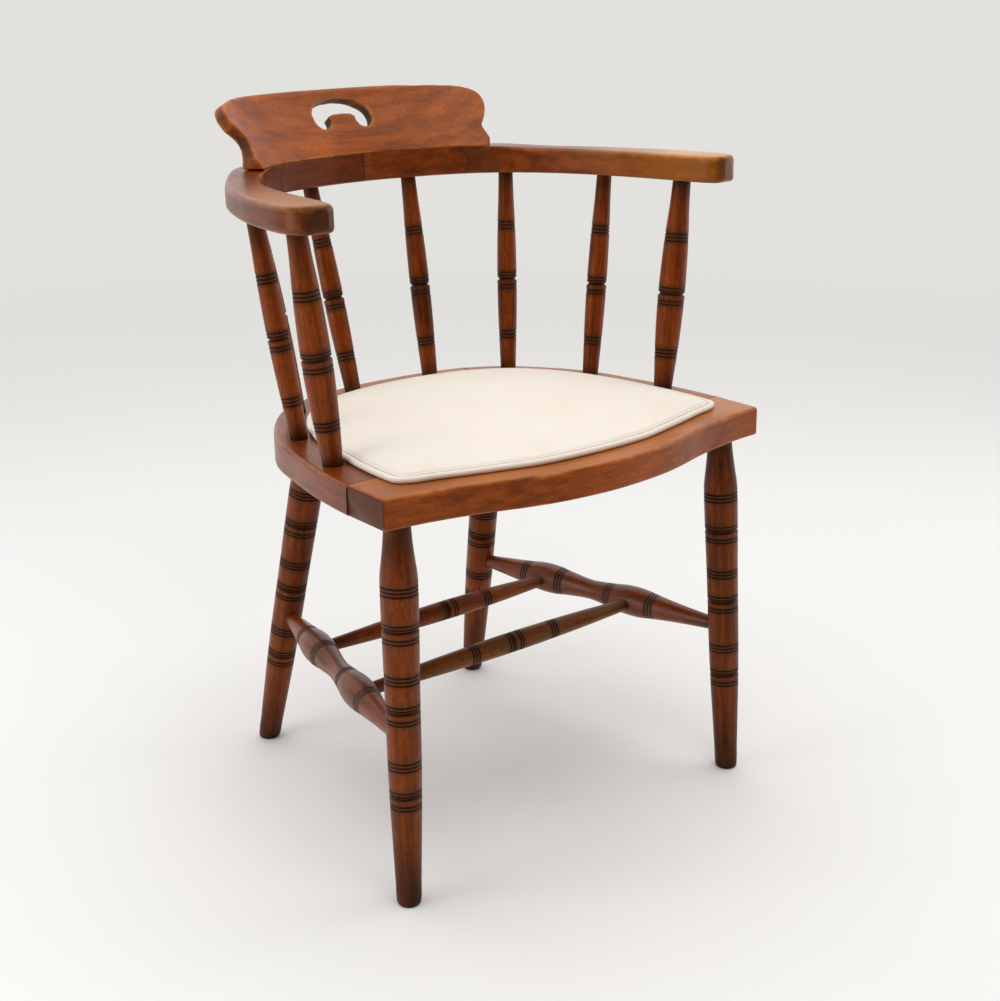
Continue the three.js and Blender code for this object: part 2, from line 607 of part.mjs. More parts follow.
// Cross stretchers, tenoned into the swellings of the side stretchers
for (const row of ['front', 'back']) {
  const from = crossEnds.left[row];
  const to = crossEnds.right[row];
  const run = to.clone().sub(from).length();
  const tenonStart = stretcher.sideBulge - stretcher.crossSocket;
  const { crossEnd, crossMiddle } = stretcher;
  const middle = run / 2 + stretcher.crossShift;
  const swollen = THREE.MathUtils.lerp(crossEnd, crossMiddle, crossBodySwellShare);
  const [swollenFrom, swollenTo] = crossBodyShares.map((share) => [run * share, swollen]);
  const body = [[tenonStart, crossEnd], [stretcher.sideBulge, crossEnd], swollenFrom,
    [middle, crossMiddle], swollenTo, [run - stretcher.sideBulge, crossEnd],
    [run - tenonStart, crossEnd]];
  const profile = turnedProfile(body, [middle - stretcher.crossRing, middle + stretcher.crossRing],
    [middle]);
  turnedPiece(chair, `cross_stretcher_${row}`, profile, from, to, stretcher.crossSides, darkTurned);
  for (const sideName of ['left', 'right']) {
    const { piece } = crossEnds[sideName];
    const [near, far] = sideName === 'left' ? [from, to] : [to, from];
    recut(piece, cutBy(piece.shape, piece.mesh, along(near, far, tenonStart - jointGap),
      along(near, far, 2 * stretcher.sideBulge), crossEnd + jointGap, stretcher.crossSides * 2));
  }
}

// Board let into the frame, the pad on it and the corded edge round the pad
const boardHalf = rebateHalf.map(([x, y]) => {
  const reach = Math.hypot(x, y);
  return [x - (x / reach) * jointGap, y - (y / reach) * jointGap];
});
boardHalf[0][0] = 0;
boardHalf[boardHalf.length - 1][0] = 0;
let boardShape = slabOf(mirroredOutline(boardHalf), -board.thickness, -jointGap);

// Screws up through the board's rim hold it down on the rebate
const rimAt = (share) => {
  const i = Math.round(share * (rebateHalf.length - 1));
  const [x, y] = rebateHalf[i];
  const reach = Math.hypot(x, y);
  return [x - (x / reach) * board.rebateWidth / 2, y - (y / reach) * board.rebateWidth / 2];
};
for (const [sideName, sign] of sides) {
  screwShares.forEach((share, i) => {
    const [x, y] = rimAt(share);
    const headTop = -2 * jointGap;
    const neck = headTop - board.screwRadius;
    const tip = headTop - board.screwLength;
    const outline = [[0, tip], [board.screwRadius, tip], [board.screwRadius, neck],
      [board.screwHeadRadius, headTop], [0, headTop]].map(([r, z]) => new THREE.Vector2(r, z));
    const screw = new THREE.LatheGeometry(outline, leg.sides);
    screw.rotateX(Math.PI / 2);
    screw.translate(sign * x, y, 0);
    addPiece(seatGroup, `board_screw_${sideName}_${i + 1}`, solidOf(screw), steel);
    const hole = [[0, tip - jointGap], [board.screwRadius + jointGap, tip - jointGap],
      [board.screwRadius + jointGap, neck - jointGap], [board.screwHeadRadius + jointGap, headTop],
      [board.screwHeadRadius + jointGap, overrun], [0, overrun]]
      .map(([r, z]) => new THREE.Vector2(r, z));
    const bit = new THREE.LatheGeometry(hole, leg.sides * 2);
    bit.rotateX(Math.PI / 2);
    bit.translate(sign * x, y, 0);
    const cutter = solidOf(bit);
    boardShape = boardShape.subtract(cutter);
    for (const rail of Object.values(seatMeshes)) {
      const cut = rail.shape.subtract(cutter);
      if (cut.volume() < rail.shape.volume() - jointGap) recut(rail, cut);
    }
  });
}
addPiece(seatGroup, 'seat_board', boardShape, plainBoard);

const padHalf = sampleCurve(padOutline, pad.steps);
padHalf[0][0] = 0;
padHalf[padHalf.length - 1][0] = 0;
const padRingAt = (inset, z) => mirroredOutline(insetFrom(padHalf, inset)
  .map(([x, y], i) => [i === 0 || i === padHalf.length - 1 ? 0 : Math.max(x, jointGap * 2), y]))
  .map(([x, y]) => new THREE.Vector3(x, y, z));
const { cord, edgeHeight } = pad;
// The pad's skin: flat below, drawn in above the cord, then crowned
const padSkirt = [[pad.footInset, jointGap], [pad.footInset, 2 * cord + jointGap],
  [pad.shoulderInset, edgeHeight * padShoulderShare], [pad.topInset, edgeHeight]];
const padRings = padSkirt.map(([inset, z]) => padRingAt(inset, z));
const padTop = padRings[padRings.length - 1];
const padCentre = new THREE.Vector3(0, pad.crownY, 0);
for (const [sizeShare, liftShare] of padCrownShares) {
  padRings.push(padTop.map((p) => padCentre.clone().lerp(p, sizeShare)
    .setZ(edgeHeight + pad.crown * liftShare)));
}
addPiece(seatGroup, 'seat_pad', solidSkin(padRings), creamCloth);

// The cord lies round the pad's foot, just clear of the cloth and the wood
function cordRing(centreInset) {
  const rings = [];
  const line = padRingAt(centreInset, 0);
  const outerLine = padRingAt(centreInset - cord, 0);
  for (let i = 0; i < line.length; i++) {
    const out = outerLine[i].clone().sub(line[i]).normalize();
    const ring = [];
    for (let k = 0; k < pad.cordSides; k++) {
      const turn = (k / pad.cordSides) * 2 * Math.PI;
      ring.push(line[i].clone().addScaledVector(out, Math.cos(turn) * (cord - halfGap))
        .setZ(cord + jointGap + Math.sin(turn) * (cord - halfGap)));
    }
    rings.push(ring);
  }
  return rings;
}
function closedRing(rings) {
  const count = rings[0].length;
  const points = [];
  const index = [];
  for (const ring of rings) for (const p of ring) points.push(p.x, p.y, p.z);
  for (let i = 0; i < rings.length; i++) {
    const j = (i + 1) % rings.length;
    for (let k = 0; k < count; k++) {
      const m = (k + 1) % count;
      index.push(i * count + k, i * count + m, j * count + m, i * count + k, j * count + m,
        j * count + k);
    }
  }
  const geometry = new THREE.BufferGeometry();
  geometry.setAttribute('position', new THREE.Float32BufferAttribute(points, 3));
  geometry.setIndex(index);
  return solidOf(geometry);
}
addPiece(seatGroup, 'seat_piping', closedRing(cordRing(cord - pad.cordOut + halfGap)), creamCloth);

export default chair;
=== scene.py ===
# %% [markdown]
# A low-backed captains chair: turned legs and spindles, a sawn arm bow, a raked crest rail with
# a finger hole, and a thin corded pad on a solid seat frame. The measured model of the chair is
# loaded first and stays where it is. Each step below gives one part of it the surface that the
# real chair shows, in the same place and at the same size.
# %% Load the fixed frame
import math
import bpy
import bmesh
import numpy as np
from mathutils import Matrix, Vector, kdtree, noise


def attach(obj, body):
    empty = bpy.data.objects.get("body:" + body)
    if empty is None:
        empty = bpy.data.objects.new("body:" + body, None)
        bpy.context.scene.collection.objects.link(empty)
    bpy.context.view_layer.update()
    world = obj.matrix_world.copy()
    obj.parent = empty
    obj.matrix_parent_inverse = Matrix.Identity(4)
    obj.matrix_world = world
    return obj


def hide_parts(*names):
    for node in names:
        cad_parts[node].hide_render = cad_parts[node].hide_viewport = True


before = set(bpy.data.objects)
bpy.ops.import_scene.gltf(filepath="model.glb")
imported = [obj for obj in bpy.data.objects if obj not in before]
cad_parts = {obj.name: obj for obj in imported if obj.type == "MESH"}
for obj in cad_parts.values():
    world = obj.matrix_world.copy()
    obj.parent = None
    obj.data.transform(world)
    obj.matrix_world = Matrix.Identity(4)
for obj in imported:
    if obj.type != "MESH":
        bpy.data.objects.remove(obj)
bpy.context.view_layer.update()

MM = 0.001
SIDES = (("left", -1), ("right", 1))
print("nodes in the frame:", len(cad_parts))

# %% [markdown]
# The camera comes first, so that every later choice can be judged through it. A photograph fixes
# a camera by where it stands, which way it looks and how long its lens is. Here those three were
# worked out from the chair's own symmetry, so they are written as plain numbers. The lens follows
# from the focal length counted in picture widths, times the width of the sensor.
# %% The camera at the photograph's place
EYE = Vector((-1.0996, -1.4439, 0.9942))
AZIMUTH, ELEVATION, ROLL = (math.radians(a) for a in (-38.637, 19.689, 0.265))
FOCAL_WIDTHS, SENSOR_MM = 1.60725, 36.0


def camera_axes(azimuth, elevation, roll):
    """The camera's right, up and back directions."""
    look = Vector((-math.sin(azimuth) * math.cos(elevation),
                   math.cos(azimuth) * math.cos(elevation), -math.sin(elevation)))
    right = Vector((math.cos(azimuth), math.sin(azimuth), 0))
    up = right.cross(look)
    turn = Matrix.Rotation(roll, 3, look)
    return turn.inverted() @ right, turn.inverted() @ up, -look


scene = bpy.context.scene
camera = bpy.data.objects.new("camera", bpy.data.cameras.new("camera"))
scene.collection.objects.link(camera)
camera.data.sensor_fit = "HORIZONTAL"
camera.data.sensor_width = SENSOR_MM
camera.data.lens = FOCAL_WIDTHS * SENSOR_MM
camera.data.clip_start, camera.data.clip_end = 0.05, 40
camera.matrix_world = Matrix.Translation(EYE) @ Matrix(
    camera_axes(AZIMUTH, ELEVATION, ROLL)).transposed().to_4x4()
scene.camera = camera
scene.view_settings.view_transform = "Standard"
print("lens", round(camera.data.lens, 2), "mm")

# %% [markdown]
# The seat and the arm bow are flat shapes that lean a little, so both are drawn flat in
# millimetres and then tipped into place. A smooth outline needs only a few points: a curve that
# passes through all of them fills in the rest. The centripetal form is used, because it makes no
# loops or overshoots where the points are unevenly spaced.
# %% Leaning planes and smooth lines
DEPTH_CENTRE = 9.27
SEAT_TOP, SEAT_PITCH, SEAT_THICK = 460, math.radians(1.24), 33.5
BOW_UNDER, BOW_PITCH = 709, math.radians(2.46)


def tipped(points, height, pitch):
    """Points drawn in a flat plane, in mm, moved to the leaning plane at that height."""
    p = np.atleast_2d(np.asarray(points, float))
    c, s = math.cos(pitch), math.sin(pitch)
    return np.stack([p[..., 0], p[..., 1] * c + p[..., 2] * s - DEPTH_CENTRE,
                     -p[..., 1] * s + p[..., 2] * c + height], -1)


def in_seat(points):
    return tipped(points, SEAT_TOP, SEAT_PITCH)


def in_bow(points):
    return tipped(points, BOW_UNDER, BOW_PITCH)


def smooth_at(points, places):
    """Reads a smooth line through the points, at places counted in points."""
    p = np.asarray(points, float)
    p = np.vstack([2 * p[0] - p[1], p, 2 * p[-1] - p[-2]])
    places = np.asarray(places, float)
    i = np.clip(np.floor(places).astype(int), 0, len(p) - 4)
    w = (places - i)[..., None]
    a, b, c, d = p[i], p[i + 1], p[i + 2], p[i + 3]
    gap = [np.sqrt(np.linalg.norm(q - r, axis=-1, keepdims=True))
           for q, r in ((b, a), (c, b), (d, c))]
    first = ((b - a) / gap[0] - (c - a) / (gap[0] + gap[1]) + (c - b) / gap[1]) * gap[1]
    second = ((c - b) / gap[1] - (d - b) / (gap[1] + gap[2]) + (d - c) / gap[2]) * gap[1]
    return (b + first * w + (3 * (c - b) - 2 * first - second) * w ** 2
            + (2 * (b - c) + first + second) * w ** 3)


def smooth_line(points, count):
    """The whole smooth line through the points, as that many points."""
    return smooth_at(points, np.linspace(0, len(points) - 1, count))


def both_sides(half):
    """A half outline that starts on the middle line, with its mirror image put before it."""
    half = np.asarray(half, float)
    return np.vstack([half[:0:-1] * [-1, 1], half])


def walked(line):
    """The distance walked along a polyline at each of its points."""
    return np.concatenate([[0], np.cumsum(np.linalg.norm(np.diff(line, axis=0), axis=1))])


def at_distances(line, distances):
    run = walked(line)
    return np.stack([np.interp(distances, run, line[:, k]) for k in range(line.shape[1])], 1)


def spread(line, count):
    """Evenly spaced points along a polyline."""
    return at_distances(line, np.linspace(0, walked(line)[-1], count))


def eased(value, low, high):
    t = np.clip((np.asarray(value, float) - low) / (high - low), 0, 1)
    return t * t * (3 - 2 * t)


# %% [markdown]
# A tidy script hides the few lines of bookkeeping that every mesh needs. One helper turns points
# and faces into a named piece, points its faces outward and marks hard corners, so that smooth
# shading stops there. Another fills the skin between rings of points, which is how the seat rails
# and the bow are made. Numbers stored on the points, such as how worn a spot is and how dark from
# grime and painted shade, are read later by the wood's material. The last helpers give a finished
# piece its finish, attach it to the root and hide the part of the measured model that it stands
# for.
# %% Pieces from points and rings
HARD_CORNER = math.radians(38)


def linked(name, data):
    """A new object in the scene."""
    piece = bpy.data.objects.new(name, data)
    scene.collection.objects.link(piece)
    return piece


def set_mark(mesh, name, values):
    layer = mesh.attributes.new(name, "FLOAT", "POINT")
    layer.data.foreach_set("value", np.asarray(values, np.float32).ravel())


def piece_from(name, points_mm, faces, **marks):
    mesh = bpy.data.meshes.new(name)
    mesh.from_pydata((np.asarray(points_mm) * MM).tolist(), [], faces)
    for key, values in marks.items():
        set_mark(mesh, key, values)
    piece = linked(name, mesh)
    shade(piece)
    return piece


def shade(piece, hard=HARD_CORNER):
    """Faces outward, smooth shading, and sharp edges where the surface turns a hard corner."""
    work = bmesh.new()
    work.from_mesh(piece.data)
    bmesh.ops.recalc_face_normals(work, faces=work.faces)
    for face in work.faces:
        face.smooth = True
    for edge in work.edges:
        edge.smooth = not (len(edge.link_faces) == 2 and edge.calc_face_angle(0) > hard)
    work.to_mesh(piece.data)
    work.free()


def loft(name, rings, **marks):
    """A closed skin over rings of points, with a flat face at each end."""
    rings = np.asarray(rings, float)
    count, around = rings.shape[:2]
    faces = [list(range(around))[::-1], [(count - 1) * around + k for k in range(around)]]
    for i in range(0, (count - 1) * around, around):
        for k in range(around):
            m = (k + 1) % around
            faces.append((i + k, i + m, i + around + m, i + around + k))
    return piece_from(name, rings.reshape(-1, 3), faces, **marks)


def wire_from(name, points, closed=False):
    """Points in metres joined by edges, as the path that a node tree follows."""
    mesh = bpy.data.meshes.new(name)
    count = len(points)
    edges = [(k, (k + 1) % count) for k in range(count if closed else count - 1)]
    mesh.from_pydata(np.asarray(points).tolist(), edges, [])
    return linked(name, mesh)


def box_section(width, height, radii, crown=0.0, arc=6, flats=7):
    """A board's cross-section as (across, up, edge) rows, from the inner low corner round.

    radii are the roundings of the inner low, outer low, outer top and inner top corners."""
    centres = [(radii[0], radii[0]), (width - radii[1], radii[1]),
               (width - radii[2], height - radii[2]), (radii[3], height - radii[3])]
    rows = []
    for corner, (cx, cy) in enumerate(centres):
        r0, r1 = radii[corner], radii[(corner + 1) % 4]
        start = math.pi * (1 + corner / 2)
        for k in range(arc + 1):
            turn = start + math.pi / 2 * k / arc
            rows.append((cx + r0 * math.cos(turn), cy + r0 * math.sin(turn),
                         math.sin(math.pi * k / arc) if r0 > 1 else 0))
        nx, ny = centres[(corner + 1) % 4]
        following = start + math.pi / 2
        a = (cx + r0 * math.cos(following), cy + r0 * math.sin(following))
        b = (nx + r1 * math.cos(following), ny + r1 * math.sin(following))
        for t in (k / flats for k in range(1, flats)):
            rows.append((a[0] + (b[0] - a[0]) * t, a[1] + (b[1] - a[1]) * t, 0))
    rows = np.array(rows)
    top = eased(rows[:, 1] / height, 0.6, 1.0)
    rows[:, 1] += crown * top * (1 - (2 * rows[:, 0] / width - 1) ** 2) - crown * top
    return rows


def dress(piece, finish):
    piece.data.materials.clear()
    piece.data.materials.append(finish)


def stands_for(piece, node):
    """Attaches a piece to the root and hides the node of the measured model that it replaces."""
    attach(piece, "root")
    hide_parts(node)
    return piece


# %% [markdown]
# Materials are trees of nodes, and a node tree gets long quickly. A small writer keeps the rest
# short: it adds a node with its settings and links in a single call, and does sums, noises and
# blends in one word each. Anything that more than one material needs becomes a node group with
# named sockets, like a function with named arguments.
# %% A writer for node trees


class Nodes:
    """Writes nodes into one tree. An input is either a value or a socket to link."""

    def __init__(self, tree):
        self.tree = tree

    def put(self, value, socket):
        if isinstance(value, bpy.types.NodeSocket):
            self.tree.links.new(value, socket)
        else:
            socket.default_value = value

    def add(self, kind, inputs=None, **settings):
        node = self.tree.nodes.new(kind)
        for key, value in settings.items():
            setattr(node, key, value)
        for key, value in (inputs or {}).items():
            self.put(value, node.inputs[key])
        return node

    def out(self, kind, inputs=None, output=0, **settings):
        """The same, and gives back an output."""
        return self.add(kind, inputs, **settings).outputs[output]

    def sums(self, operation, a, b=0.0, c=0.0, clamp=False):
        return self.out("ShaderNodeMath", {0: a, 1: b, 2: c}, operation=operation, use_clamp=clamp)

    def times(self, a, b, clamp=False):
        return self.sums("MULTIPLY", a, b, clamp=clamp)

    def plus(self, a, b, clamp=False):
        return self.sums("ADD", a, b, clamp=clamp)

    def minus(self, a, b, clamp=False):
        return self.sums("SUBTRACT", a, b, clamp=clamp)

    def vectors(self, operation, a, b=(0, 0, 0)):
        return self.out("ShaderNodeVectorMath", {0: a, 1: b}, operation=operation,
                        output="Value" if operation in ("LENGTH", "DOT_PRODUCT") else "Vector")

    def joined(self, **parts):
        """A vector from its X, Y and Z."""
        return self.out("ShaderNodeCombineXYZ", parts)

    def split(self, vector):
        return self.add("ShaderNodeSeparateXYZ", {0: vector}).outputs

    def mapped(self, value, low, high, out_low=0.0, out_high=1.0, how="LINEAR"):
        return self.out("ShaderNodeMapRange", {
            "Value": value, "From Min": low, "From Max": high, "To Min": out_low,
            "To Max": out_high}, interpolation_type=how)

    def ramp(self, value, low, high, out_low=0.0, out_high=1.0):
        """A smooth step from one value to another."""
        return self.mapped(value, low, high, out_low, out_high, "SMOOTHSTEP")

    def noise(self, vector, scale, detail=2.0, roughness=0.5, output=0):
        return self.out("ShaderNodeTexNoise", {"Vector": vector, "Scale": scale, "Detail": detail,
                                               "Roughness": roughness}, output)

    def mark(self, name, output="Fac"):
        """A number or vector that is stored on the piece's points."""
        return self.out("ShaderNodeAttribute", output=output, attribute_name=name)

    def coordinate(self, output):
        return self.out("ShaderNodeTexCoord", output=output)

    def blend(self, factor, a, b):
        node = self.add("ShaderNodeMix", {0: factor, 6: a, 7: b}, data_type="RGBA",
                        clamp_factor=True)
        return node.outputs[2]

    def bump(self, height, strength, distance, **normal):
        return self.out("ShaderNodeBump", {"Height": height, "Strength": strength,
                                           "Distance": distance, **normal}, "Normal")


def new_group(name, kind, inputs, outputs):
    """A node group with named sockets. Inputs and outputs are (name, type, default) rows."""
    tree = bpy.data.node_groups.new(name, kind)
    for in_out, rows in (("INPUT", inputs), ("OUTPUT", outputs)):
        for label, type_name, default in rows:
            socket = tree.interface.new_socket(label, in_out=in_out,
                                               socket_type="NodeSocket" + type_name)
            if default is not None:
                socket.default_value = default
    return (Nodes(tree), tree.nodes.new("NodeGroupInput").outputs,
            tree.nodes.new("NodeGroupOutput").inputs)


def new_material(name, **constants):
    """A material, the writer for its nodes and its shader."""
    material = bpy.data.materials.new(name)
    material.use_nodes = True
    surface = material.node_tree.nodes["Principled BSDF"]
    for label, value in constants.items():
        surface.inputs[label.replace("_", " ")].default_value = value
    return material, Nodes(material.node_tree), surface


def colour(code):
    """An ordinary hex colour as the linear values that a shader takes."""
    parts = [int(code[k:k + 2], 16) / 255 for k in (0, 2, 4)]
    return tuple(p / 12.92 if p <= 0.04045 else ((p + 0.055) / 1.055) ** 2.4
                 for p in parts) + (1,)


def tones(codes):
    return [colour(code) for code in codes.split()]


# %% [markdown]
# Old stained wood is never one colour. Seen closely it has long soft streaks along the grain,
# short dark pores, small mottled spots, and wide patches where the stain took more or less. All
# of them come from noise that is stretched along one direction, here Z. A piece that was cut
# another way turns its coordinates before they reach this group, and a turned piece brings its
# own along its axis.
# %% Wood grain
grain_nodes, gi, go = new_group(
    "wood grain", "ShaderNodeTree",
    [("Vector", "Vector", None), ("Streaks", "Float", 70.0), ("Pores", "Float", 900.0),
     ("Stretch", "Float", 0.045), ("Patches", "Float", 9.0)],
    [("Streak", "Float", None), ("Pore", "Float", None), ("Patch", "Float", None),
     ("Mottle", "Float", None), ("Height", "Float", None)])
PORE_LENGTH = 2.6  # pores are stretched less than the streaks are, by this much
long_way, short_way, spot_way = (
    grain_nodes.vectors("MULTIPLY", gi["Vector"], scale) for scale in (
        grain_nodes.joined(X=1, Y=1, Z=gi["Stretch"]),
        grain_nodes.joined(X=1, Y=1, Z=grain_nodes.times(gi["Stretch"], PORE_LENGTH)),
        (1, 1, 0.3)))
sway = grain_nodes.out("ShaderNodeVectorMath", {
    0: grain_nodes.noise(gi["Vector"], 6.0, 1.0, output="Color"),
    "Scale": 0.012}, operation="SCALE")
streak = grain_nodes.noise(grain_nodes.vectors("ADD", long_way, sway), gi["Streaks"], 5.0, 0.6)
pore = grain_nodes.ramp(grain_nodes.noise(short_way, gi["Pores"], 2.0, 0.55), 0.52, 0.66)
spots = grain_nodes.noise(spot_way, 130.0, 5.0, 0.7)
patch = grain_nodes.noise(gi["Vector"], gi["Patches"], 3.0)
for label, value in (
        ("Streak", grain_nodes.ramp(streak, 0.32, 0.68)), ("Pore", pore),
        ("Patch", grain_nodes.ramp(patch, 0.30, 0.72)),
        ("Mottle", grain_nodes.ramp(spots, 0.42, 0.68)),
        ("Height", grain_nodes.minus(grain_nodes.times(streak, 0.35), pore))):
    grain_nodes.put(value, go[label])
print("wood grain group:", len(grain_nodes.tree.nodes), "nodes")

# %% [markdown]
# Use changes the finish in two ways. Hands, clothes and shoes rub the stain off raised edges, and
# wax and dirt gather in the turned lines and corners. The turned lines and the necks of the legs
# are also painted darker as painted shade, on top of that dirt. The mesh says where all of this
# happens, in three marks on its points: wear, dirt with shade in the turned lines, and grime with
# shade. This group breaks those marks up with noise, so that no band of wear looks ruled, and
# scatters small nicks.
# %% Wear, dirt and painted shade
wear_nodes, wi, wo = new_group(
    "wear and dirt", "ShaderNodeTree",
    [("Vector", "Vector", None), ("Wear", "Float", 1.0), ("Dirt", "Float", 1.0),
     ("Marks", "Float", 0.5)],
    [("Worn", "Float", None), ("Dirty", "Float", None), ("Nicks", "Float", None)])
broken = wear_nodes.noise(wi["Vector"], 38.0, 5.0, 0.65)
worn = wear_nodes.times(wear_nodes.mark("wear"), wear_nodes.ramp(broken, 0.36, 0.60), clamp=True)
dirt_and_shade = wear_nodes.plus(wear_nodes.mark("groove"), wear_nodes.times(
    wear_nodes.mark("grime"), wear_nodes.ramp(broken, 0.25, 0.62, 0.45, 1.0)), clamp=True)
specks = wear_nodes.ramp(wear_nodes.noise(wi["Vector"], 230.0, 3.0), 0.70, 0.76)
dents = wear_nodes.out("ShaderNodeTexVoronoi", {"Vector": wi["Vector"], "Scale": 42.0})
nicks = wear_nodes.times(wear_nodes.ramp(dents, 0.075, 0.03), wear_nodes.ramp(broken, 0.52, 0.6))
for label, value, share in (("Worn", worn, "Wear"), ("Dirty", dirt_and_shade, "Dirt"),
                            ("Nicks", wear_nodes.sums("MAXIMUM", specks, nicks), "Marks")):
    wear_nodes.put(wear_nodes.times(value, wi[share], clamp=True), wo[label])
print("wear group:", len(wear_nodes.tree.nodes), "nodes")

# %% [markdown]
# Where a board is sawn across, its open pores drink more stain and the cut end turns darker and
# duller. The mask for that is how squarely the surface faces along the grain, so it needs only
# the grain's direction. It shows on the ends of the front seat rail and of the crest rail.
# %% Sawn ends
end_nodes, ei, eo = new_group(
    "sawn end", "ShaderNodeTree", [("Grain direction", "Vector", (0, 0, 1))],
    [("End", "Float", None)])
facing = end_nodes.vectors("DOT_PRODUCT", end_nodes.coordinate("Normal"), ei["Grain direction"])
end_nodes.put(end_nodes.ramp(end_nodes.sums("ABSOLUTE", facing), 0.62, 0.93), eo["End"])
print("sawn end group:", len(end_nodes.tree.nodes), "nodes")

# %% [markdown]
# One function mixes the finish of every wooden piece, so the chair stays one family of colours.
# It takes the dark, middle and light tone of the stain, the tone that shows through where it is
# worn, and how the grain runs. The worn tone is also painted onto faces that look up, as painted
# top light. Polish is a thin coat over stain, so the shader has a weak coat.
# The strengths that are the same all over sit on the shader itself.
# %% The stained and polished wood
# The near-black tone stands for dirt and nicks, and also paints shade into the turned lines and the
# necks of the legs.
DIRT_AND_SHADE, END_GRAIN = tones("140702 441f0c")
AMBER = (1.0, 0.55, 0.28, 1)  # the tint that old polish gives to a reflection seen head-on
MILKY = (1.0, 0.86, 0.76, 1)  # a paler tint, for faces that old wax has clouded
ROOT_SHARE = 0.8  # how strongly the roots of the arms take the tones of the back


def stained_wood(name, stain, turn=(0, 0, 0), own_axis=False, wear=0.8, dirt_and_shade=1.0, rough=0.33,
                 streaks=110.0, stretch=0.045, marks=0.5, ends_dark=0.7, pores=0.5, cloud=0.5,
                 painted_top_light=0.0, gloss=0.3, tint=AMBER, mottle=0.35, root=None):
    dark, middle, light, worn_and_top_light_tone = tones(stain)
    material, n, surface = new_material(name, Specular_IOR_Level=gloss, Specular_Tint=tint,
                                        Coat_Weight=0.05, Coat_Roughness=0.2)
    place = n.coordinate("Object")
    along = n.mark("grain", "Vector") if own_axis else n.out(
        "ShaderNodeMapping", {"Vector": place, "Rotation": turn})
    wood = n.add("ShaderNodeGroup", {"Vector": along, "Streaks": streaks, "Stretch": stretch},
                 node_tree=grain_nodes.tree).outputs
    used = n.add("ShaderNodeGroup", {"Vector": place, "Wear": wear, "Dirt": dirt_and_shade, "Marks": marks},
                 node_tree=wear_nodes.tree).outputs
    tone = n.blend(wood["Streak"], dark, middle)
    tone = n.blend(n.times(wood["Patch"], cloud), tone, light)
    tone = n.blend(n.times(wood["Mottle"], mottle), tone, dark)
    tone = n.blend(n.times(wood["Pore"], pores), tone, dark)
    shaded = n.mark("shaded")
    if root:
        tone = n.blend(n.times(shaded, ROOT_SHARE), tone, n.blend(wood["Streak"], *tones(root)))
    # Painted top light: faces that look up are painted towards the worn tone by this share, except
    # where the mark shaded holds it off.
    if painted_top_light:
        upward = n.vectors("DOT_PRODUCT", n.coordinate("Normal"), (0, 0, 1))
        lit_top = n.times(n.ramp(upward, 0.6, 0.98), n.ramp(wood["Patch"], 0.0, 1.0, 0.55, 1.0))
        tone = n.blend(n.times(n.times(lit_top, n.minus(1.0, shaded)), painted_top_light), tone, worn_and_top_light_tone)
    if ends_dark and not own_axis:
        direction = Matrix.Identity(3)
        for angle, axis in zip(turn, "XYZ"):
            direction = Matrix.Rotation(angle, 3, axis) @ direction
        cut = n.out("ShaderNodeGroup", {
            "Grain direction": direction.inverted() @ Vector((0, 0, 1))}, node_tree=end_nodes.tree)
        tone = n.blend(n.times(cut, ends_dark), tone, END_GRAIN)
    # The last blend lays the near-black tone over real dirt and over painted shade in the turned
    # lines and at the legs' necks.
    for mask, shown in (("Worn", worn_and_top_light_tone), ("Nicks", DIRT_AND_SHADE), ("Dirty", DIRT_AND_SHADE)):
        tone = n.blend(used[mask], tone, shown)
    n.put(tone, surface.inputs["Base Color"])
    shine = n.plus(n.times(wood["Patch"], -0.06), rough + 0.05)
    n.put(n.plus(shine, n.times(used["Dirty"], 0.25)), surface.inputs["Roughness"])
    height = n.minus(wood["Height"], n.times(used["Nicks"], 1.5))
    n.put(n.bump(height, 0.22, 0.0006), surface.inputs["Normal"])
    return material


ALONG_X = (0, math.radians(-90), 0)
ALONG_Y = (math.radians(90), 0, 0)
TURNED = "401604 80360b 9c4916 bc6626"
RAIL = "6a2a08 9c4815 b65c22 d08844"
ON_LATHE = {"own_axis": True, "streaks": 150.0}
turned_finish = stained_wood("turned_finish", TURNED, stretch=0.06, pores=0.7, **ON_LATHE)
side_turned_finish = stained_wood("side_turned_finish", TURNED, stretch=0.06, gloss=0.5,
                                  tint=MILKY, rough=0.28, **ON_LATHE)
spindle_finish = stained_wood("spindle_finish", "401402 863406 aa4e0e c4681e", stretch=0.05,
                              pores=0.7, **ON_LATHE)
ochre_finish = stained_wood("ochre_finish", "42220a 744014 8a501c a66c30", stretch=0.06,
                            pores=0.7, **ON_LATHE)
# The front and back rails and the right side rail are painted paler where they face up: painted top
# light.
front_finish = stained_wood("front_rail_finish", RAIL, turn=ALONG_X, wear=0.6, marks=0.8,
                            cloud=0.4, painted_top_light=0.45, ends_dark=0.92, mottle=0.45)
side_finish = {
    "left": stained_wood("side_rail_finish", "501a04 86340a a04c14 c47c34", turn=ALONG_Y, wear=0.5,
                         rough=0.28, gloss=0.45, tint=(1, 0.76, 0.56, 1)),
    "right": stained_wood("right_rail_finish", RAIL, turn=ALONG_Y, wear=0.5, painted_top_light=0.3)}
